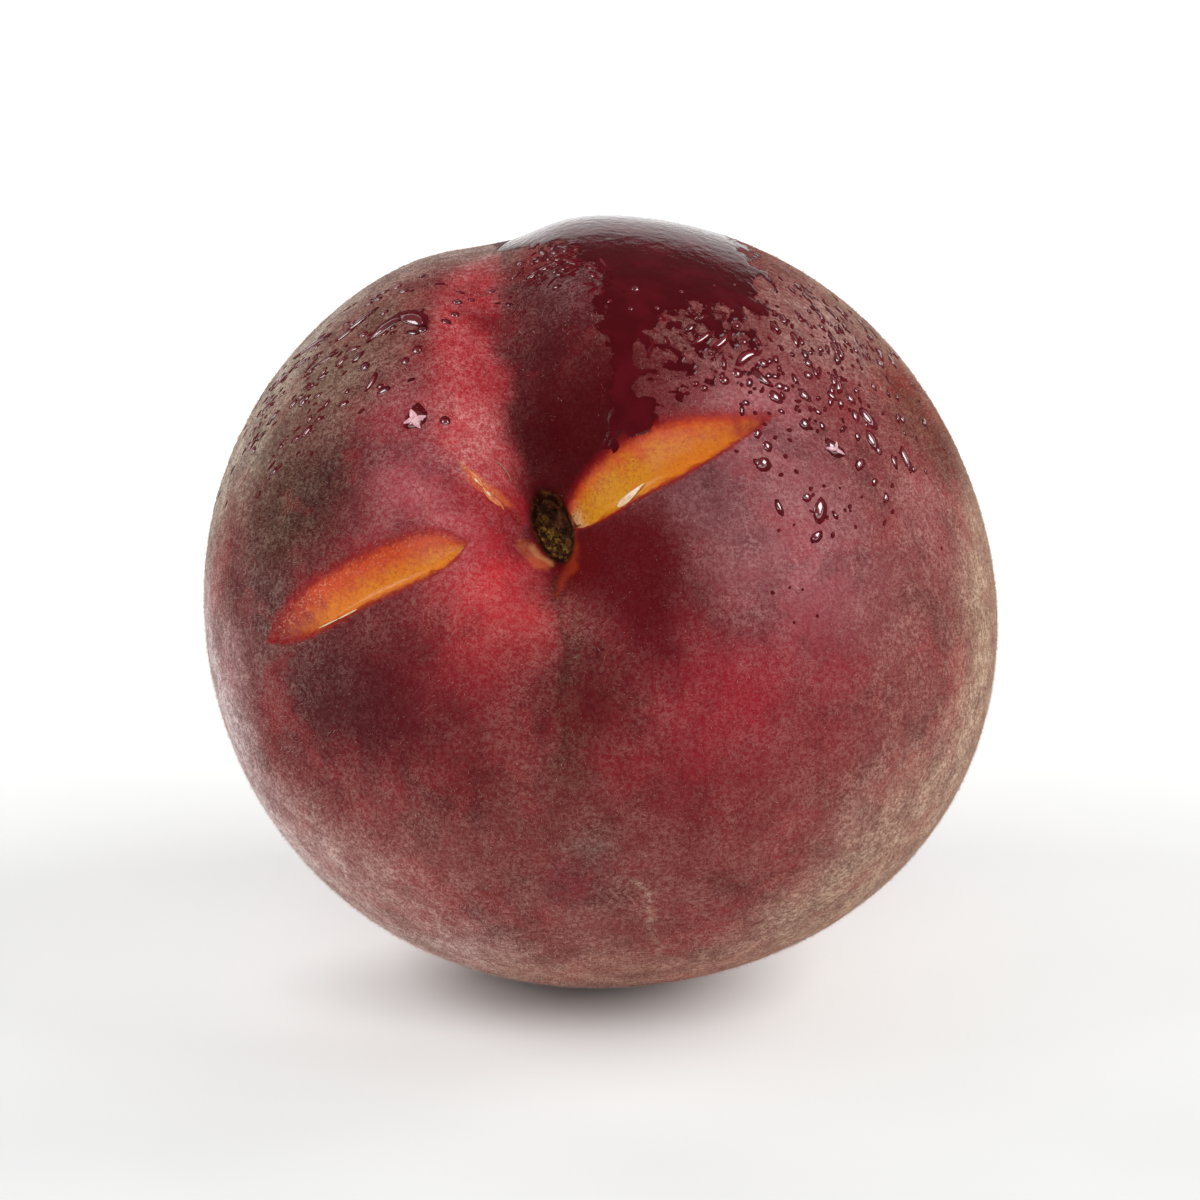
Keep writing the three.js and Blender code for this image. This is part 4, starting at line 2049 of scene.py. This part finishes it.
@dataclass
class StemScar:
    """The torn fibre at the bottom of the funnel, as a rough plug set into the pit."""

    half_length: float = 5.0
    half_width: float = 2.4
    cells: int = 84
    roughness_height: float = 0.38
    fibre_height: float = 0.3
    rings: float = 4.0
    ring_height: float = 0.16
    root_depth: float = 2.0

    def build(self, fruit: Fruit) -> Object:
        """Makes the plug.

        Args:
            fruit: The surface that it is set in.

        Returns:
            The piece.
        """
        mesh = slab("stem_scar", self.cells, self.cells)
        flat = read_points(mesh)
        form = fruit.form
        turn = math.radians(form.scar_turn_deg)
        along, across = flat[:, 0] * self.half_length, flat[:, 1] * self.half_width
        x = along * math.cos(turn) - across * math.sin(turn) + form.scar_ahead
        y = along * math.sin(turn) + across * math.cos(turn) + form.scar_left
        radius = form.mean_radius
        level = np.sqrt(radius**2 - x**2 - y**2)
        directions = np.column_stack([x, y, level]) / radius
        share = np.hypot(flat[:, 0], flat[:, 1])
        place = np.column_stack([x, y, np.zeros_like(x)])
        clods = turbulence(place, 0.9, 5, 2.0)
        fibres = turbulence(place * np.array([0.35, 1.6, 1.0]), 1.2, 4, 9.0)
        lift = self.roughness_height * clods + self.fibre_height * fibres
        rings = self.ring_height * np.cos(self.rings * 2 * math.pi * share)
        lift += rings * smoothstep(flat[:, 0], -0.1, 0.5)
        lift = lift * smoothstep(share, 1.15, 0.7) - 0.9 * smoothstep(share, 0.72, 1.0) + 0.25
        lift = np.where(flat[:, 2] < 0, -self.root_depth, lift)
        mesh.vertices.foreach_set("co", fruit.points(directions, lift).ravel())
        olive = mesh.attributes.new("olive", "FLOAT", "POINT")
        olive.data.foreach_set("value", smoothstep(flat[:, 1] - flat[:, 0], -0.5, 0.7))
        return finish_piece(mesh, ScarFinish().material())


@dataclass(frozen=True)
class Flake:
    """One sliver of torn skin, fibre or a painted highlight, from its root to its tip."""

    root: tuple[float, float]
    tip: tuple[float, float]
    width: float
    thickness: float = 0.1
    curl: float = 0.0
    bow: float = 0.0
    taper: float = 0.0


@dataclass(frozen=True)
class FlakeFinish:
    """Torn dry skin, or pale slivers that paint glints and highlights."""

    name: str
    colour: str
    stain: str

    def material(self) -> Material:
        """Builds the finish.

        Returns:
            The material.
        """
        g = Graph(self.name)
        stains = g.rise(g.noise(g.millimetres(), 2.2, 4.0, 0.65), 0.42, 0.66)
        g.set(Base_Color=g.blend(stains, self.colour, self.stain))
        g.set(Roughness=0.35, Specular_IOR_Level=0.5)
        return g.material


@dataclass
class Flakes:
    """Slivers of one colour that stand a little proud of the skin."""

    name: str
    finish: FlakeFinish
    flakes: tuple[Flake, ...]
    rise: float = 0.06

    def build(self, fruit: Fruit) -> Object:
        """Makes them.

        Args:
            fruit: The surface that they lie on.

        Returns:
            The piece.
        """
        bm = bmesh.new()
        bmesh.ops.create_uvsphere(bm, u_segments=8, v_segments=14, radius=1)
        sliver = mesh_from(bm, "sliver")
        shape = read_points(sliver)
        along = (shape[:, 2] + 1) / 2
        placed = []
        for flake in self.flakes:
            root, tip = toward(*flake.root), toward(*flake.tip)
            across = unit(np.cross(root, tip))
            middle = root + along[:, None] * (tip - root)
            middle += across * (flake.bow * (1 - shape[:, 2] ** 2))[:, None] / MEAN_RADIUS
            side = shape[:, 0] * flake.width / 2 / MEAN_RADIUS * (1 - flake.taper * along)
            lift = self.rise + shape[:, 1] * flake.thickness / 2 + flake.curl * along**2
            placed.append(fruit.points(unit(middle + side[:, None] * across), lift))
        mesh = repeat_shape(self.name, sliver, np.array(placed))
        return finish_piece(mesh, self.finish.material())


# ---------------------------------------------------------------------------------------------
# The studio
# ---------------------------------------------------------------------------------------------


@dataclass(frozen=True)
class Lamp:
    """A soft flat lamp: where it stands, what it looks at, how big and how bright it is."""

    name: str
    place: tuple[float, float, float]
    size: tuple[float, float]
    watts: float
    colour: tuple[float, float, float] = (1.0, 1.0, 1.0)

    def build(self, target: Vector) -> None:
        """Hangs the lamp.

        Args:
            target: What it is turned to.
        """
        light = bpy.data.lights.new(self.name, "AREA")
        light.shape = "RECTANGLE"
        light.size, light.size_y = self.size
        light.energy = self.watts
        light.color = self.colour
        lamp = bpy.data.objects.new(self.name, light)
        lamp.location = self.place
        lamp.rotation_euler = (target - Vector(self.place)).to_track_quat("-Z", "Y").to_euler()
        lamp.visible_camera = False
        bpy.context.scene.collection.objects.link(lamp)


@dataclass
class Studio:
    """A pale floor, a white wall behind, two soft boxes, and a camera looking a little down."""

    elevation_deg: float = 20.0
    distance: float = 0.54
    lens: float = 173.6
    floor_size: float = 8.0
    sky_strength: float = 0.3
    mirrored_sky: float = 0.12
    lamps: tuple[Lamp, ...] = (
        Lamp("back_wall", (0.0, 1.3, 0.29), (3.0, 0.58), 4.6),
        Lamp("left_box", (-1.15, -0.1, 0.85), (0.9, 0.9), 11.0),
        Lamp("right_box", (1.15, 0.0, 0.9), (0.9, 0.9), 14.0),
        Lamp("front_card", (0.1, -1.4, 0.55), (1.4, 0.7), 6.0),
    )

    def build(self, low: Vector, high: Vector) -> None:
        """Sets everything round the fruit.

        Args:
            low: The fruit's lowest corner.
            high: Its highest corner.
        """
        middle = (low + high) / 2
        self.add_floor()
        self.add_sky()
        for lamp in self.lamps:
            lamp.build(middle)
        self.add_camera(middle)
        view = bpy.context.scene.view_settings
        view.view_transform = "Standard"
        view.look = "None"

    def add_floor(self) -> None:
        """Lays a wide pale floor, which isn't part of the fruit."""
        bm = bmesh.new()
        bmesh.ops.create_grid(bm, x_segments=1, y_segments=1, size=self.floor_size / 2)
        mesh = mesh_from(bm, "floor")
        mesh.materials.append(FloorFinish().material())
        floor = bpy.data.objects.new("floor", mesh)
        bpy.context.scene.collection.objects.link(floor)

    def add_sky(self) -> None:
        """A plain world: white behind the floor's edge, dimmer as a light, and dark in gloss."""
        world = bpy.data.worlds.new("studio")
        bpy.context.scene.world = world
        world.use_nodes = True
        nodes, links = world.node_tree.nodes, world.node_tree.links
        path = nodes.new("ShaderNodeLightPath")
        strength = self.sky_strength
        for ray, bright in (("Is Glossy Ray", self.mirrored_sky), ("Is Camera Ray", 1.0)):
            choice = nodes.new("ShaderNodeMix")
            links.new(path.outputs[ray], choice.inputs[0])
            if isinstance(strength, NodeSocket):
                links.new(strength, choice.inputs[2])
            else:
                choice.inputs[2].default_value = strength
            choice.inputs[3].default_value = bright
            strength = choice.outputs[0]
        background = nodes["Background"]
        links.new(strength, background.inputs["Strength"])
        background.inputs["Color"].default_value = (1, 1, 1, 1)

    def add_camera(self, middle: Vector) -> None:
        """Looks at the middle of the fruit from the front, a little down.

        Args:
            middle: The middle of the fruit's box.
        """
        camera = bpy.data.cameras.new("camera")
        camera.lens = self.lens
        camera.clip_start = 0.01
        stand = bpy.data.objects.new("camera", camera)
        elevation = math.radians(self.elevation_deg)
        back = Vector((0, -math.cos(elevation), math.sin(elevation)))
        stand.location = middle + back * self.distance
        stand.rotation_euler = (-back).to_track_quat("-Z", "Y").to_euler()
        bpy.context.scene.collection.objects.link(stand)
        bpy.context.scene.camera = stand


def torn_skin() -> tuple[Flakes, ...]:
    """The slivers of torn skin and fibre, the pale slivers that paint glints, and the painted
    highlights on two drops, which are slivers too.

    Returns:
        One group a colour.
    """
    return (
        # Pale slivers that are painted glints: on the right mark's inner end, along the left mark's
        # lower edge, and beside the split.
        Flakes(
            "painted_glint_flakes",
            FlakeFinish("painted glint slivers", "ecd4b4", "dcb484"),
            (
                Flake((11.2, -92), (16.0, -83.5), 1.5, 0.12, curl=0.12, taper=0.9),
                Flake((40.6, 97.0), (36.0, 98.3), 0.2, 0.1, curl=0.1),
                Flake((36.6, 98.0), (32.3, 99.2), 0.24, 0.1, curl=0.1),
                Flake((14.5, 46.2), (13.5, 47.4), 0.26, 0.14, curl=0.2),
                Flake((12.3, 49.4), (11.4, 52.0), 0.28, 0.14, curl=0.2),
            ),
        ),
        Flakes(
            "split_edges",
            FlakeFinish("split skin", "e07a3c", "c04a24"),
            (
                Flake((16.1, 44.0), (12.6, 49.5), 0.34, 0.2, bow=0.25),
                Flake((15.3, 44.5), (12.4, 48.0), 0.26, 0.16, bow=-0.2),
                Flake((13.2, 47.5), (9.8, 56.0), 0.42, 0.2, bow=-0.2),
                Flake((12.0, 51.0), (9.2, 58.0), 0.3, 0.16, bow=0.2),
            ),
        ),
        # Pale star-shaped slivers on two drops: painted highlights of the lamps on the water.
        Flakes(
            "painted_drop_highlights",
            FlakeFinish("painted drop highlight", "e4b4ba", "c88a94"),
            (
                Flake((25.7, 38.8), (27.4, 36.8), 0.9, 0.26, taper=0.6),
                Flake((25.8, 38.0), (26.8, 41.8), 0.75, 0.26, taper=0.6),
                Flake((26.4, 38.8), (24.2, 40.2), 0.8, 0.26, taper=0.6),
                Flake((25.9, 39.4), (24.8, 35.4), 0.85, 0.26, taper=0.6),
                Flake((45.5, -87.2), (46.9, -88.4), 0.55, 0.2, taper=0.6),
                Flake((45.5, -87.5), (46.2, -85.6), 0.5, 0.2, taper=0.6),
                Flake((45.8, -87.2), (43.9, -86.9), 0.55, 0.2, taper=0.5),
            ),
            rise=0.24,
        ),
        Flakes(
            "scar_fibres",
            FlakeFinish("dry fibre", "b48060", "8c5440"),
            (
                Flake((14.8, 28.1), (11.2, 30.5), 0.14, 0.14, curl=0.1, bow=0.35),
            ),
        ),
    )


def main() -> None:
    """Builds the fruit and the studio."""
    logging.basicConfig(level=logging.INFO, format="%(name)s: %(message)s")
    fruit = Fruit(PeachForm(), Pose(), CAD_LOW, CAD_HIGH)
    water = WetShoulder()
    growth = Growth(Down(), water, SkinPaint())
    PeachSkin().build(fruit, growth.paint, water, growth.down)
    StemScar().build(fruit)
    for flakes in torn_skin():
        flakes.build(fruit)
    WaterFilm().build(fruit, water)
    drops = WaterDrops()
    drops.build(fruit, drops.all_drops(fruit.form, water))
    # Pale and khaki hairs gather mostly at the fruit's edges as seen, where the rim light is
    # painted.
    for hairs in (
        Hairs(
            "pale_down",
            DownTint.PALE,
            30000,
            1,
            homes=(Spot(95, 90, 34), Spot(98, 130, 30), Spot(90, 45, 30)),
            background=0.06,
        ),
        Hairs(
            "khaki_down",
            DownTint.KHAKI,
            38000,
            2,
            homes=(Spot(95, -106, 34), Spot(100, -146, 32), Spot(48, 45, 16), Spot(98, -62, 30)),
            background=0.1,
        ),
        Hairs("rosy_down", DownTint.ROSY, 34000, 3),
        Hairs("dusky_down", DownTint.DUSKY, 28000, 4),
    ):
        hairs.build(fruit, growth)
    Studio().build(CAD_LOW, CAD_HIGH)


if __name__ == "__main__":
    main()
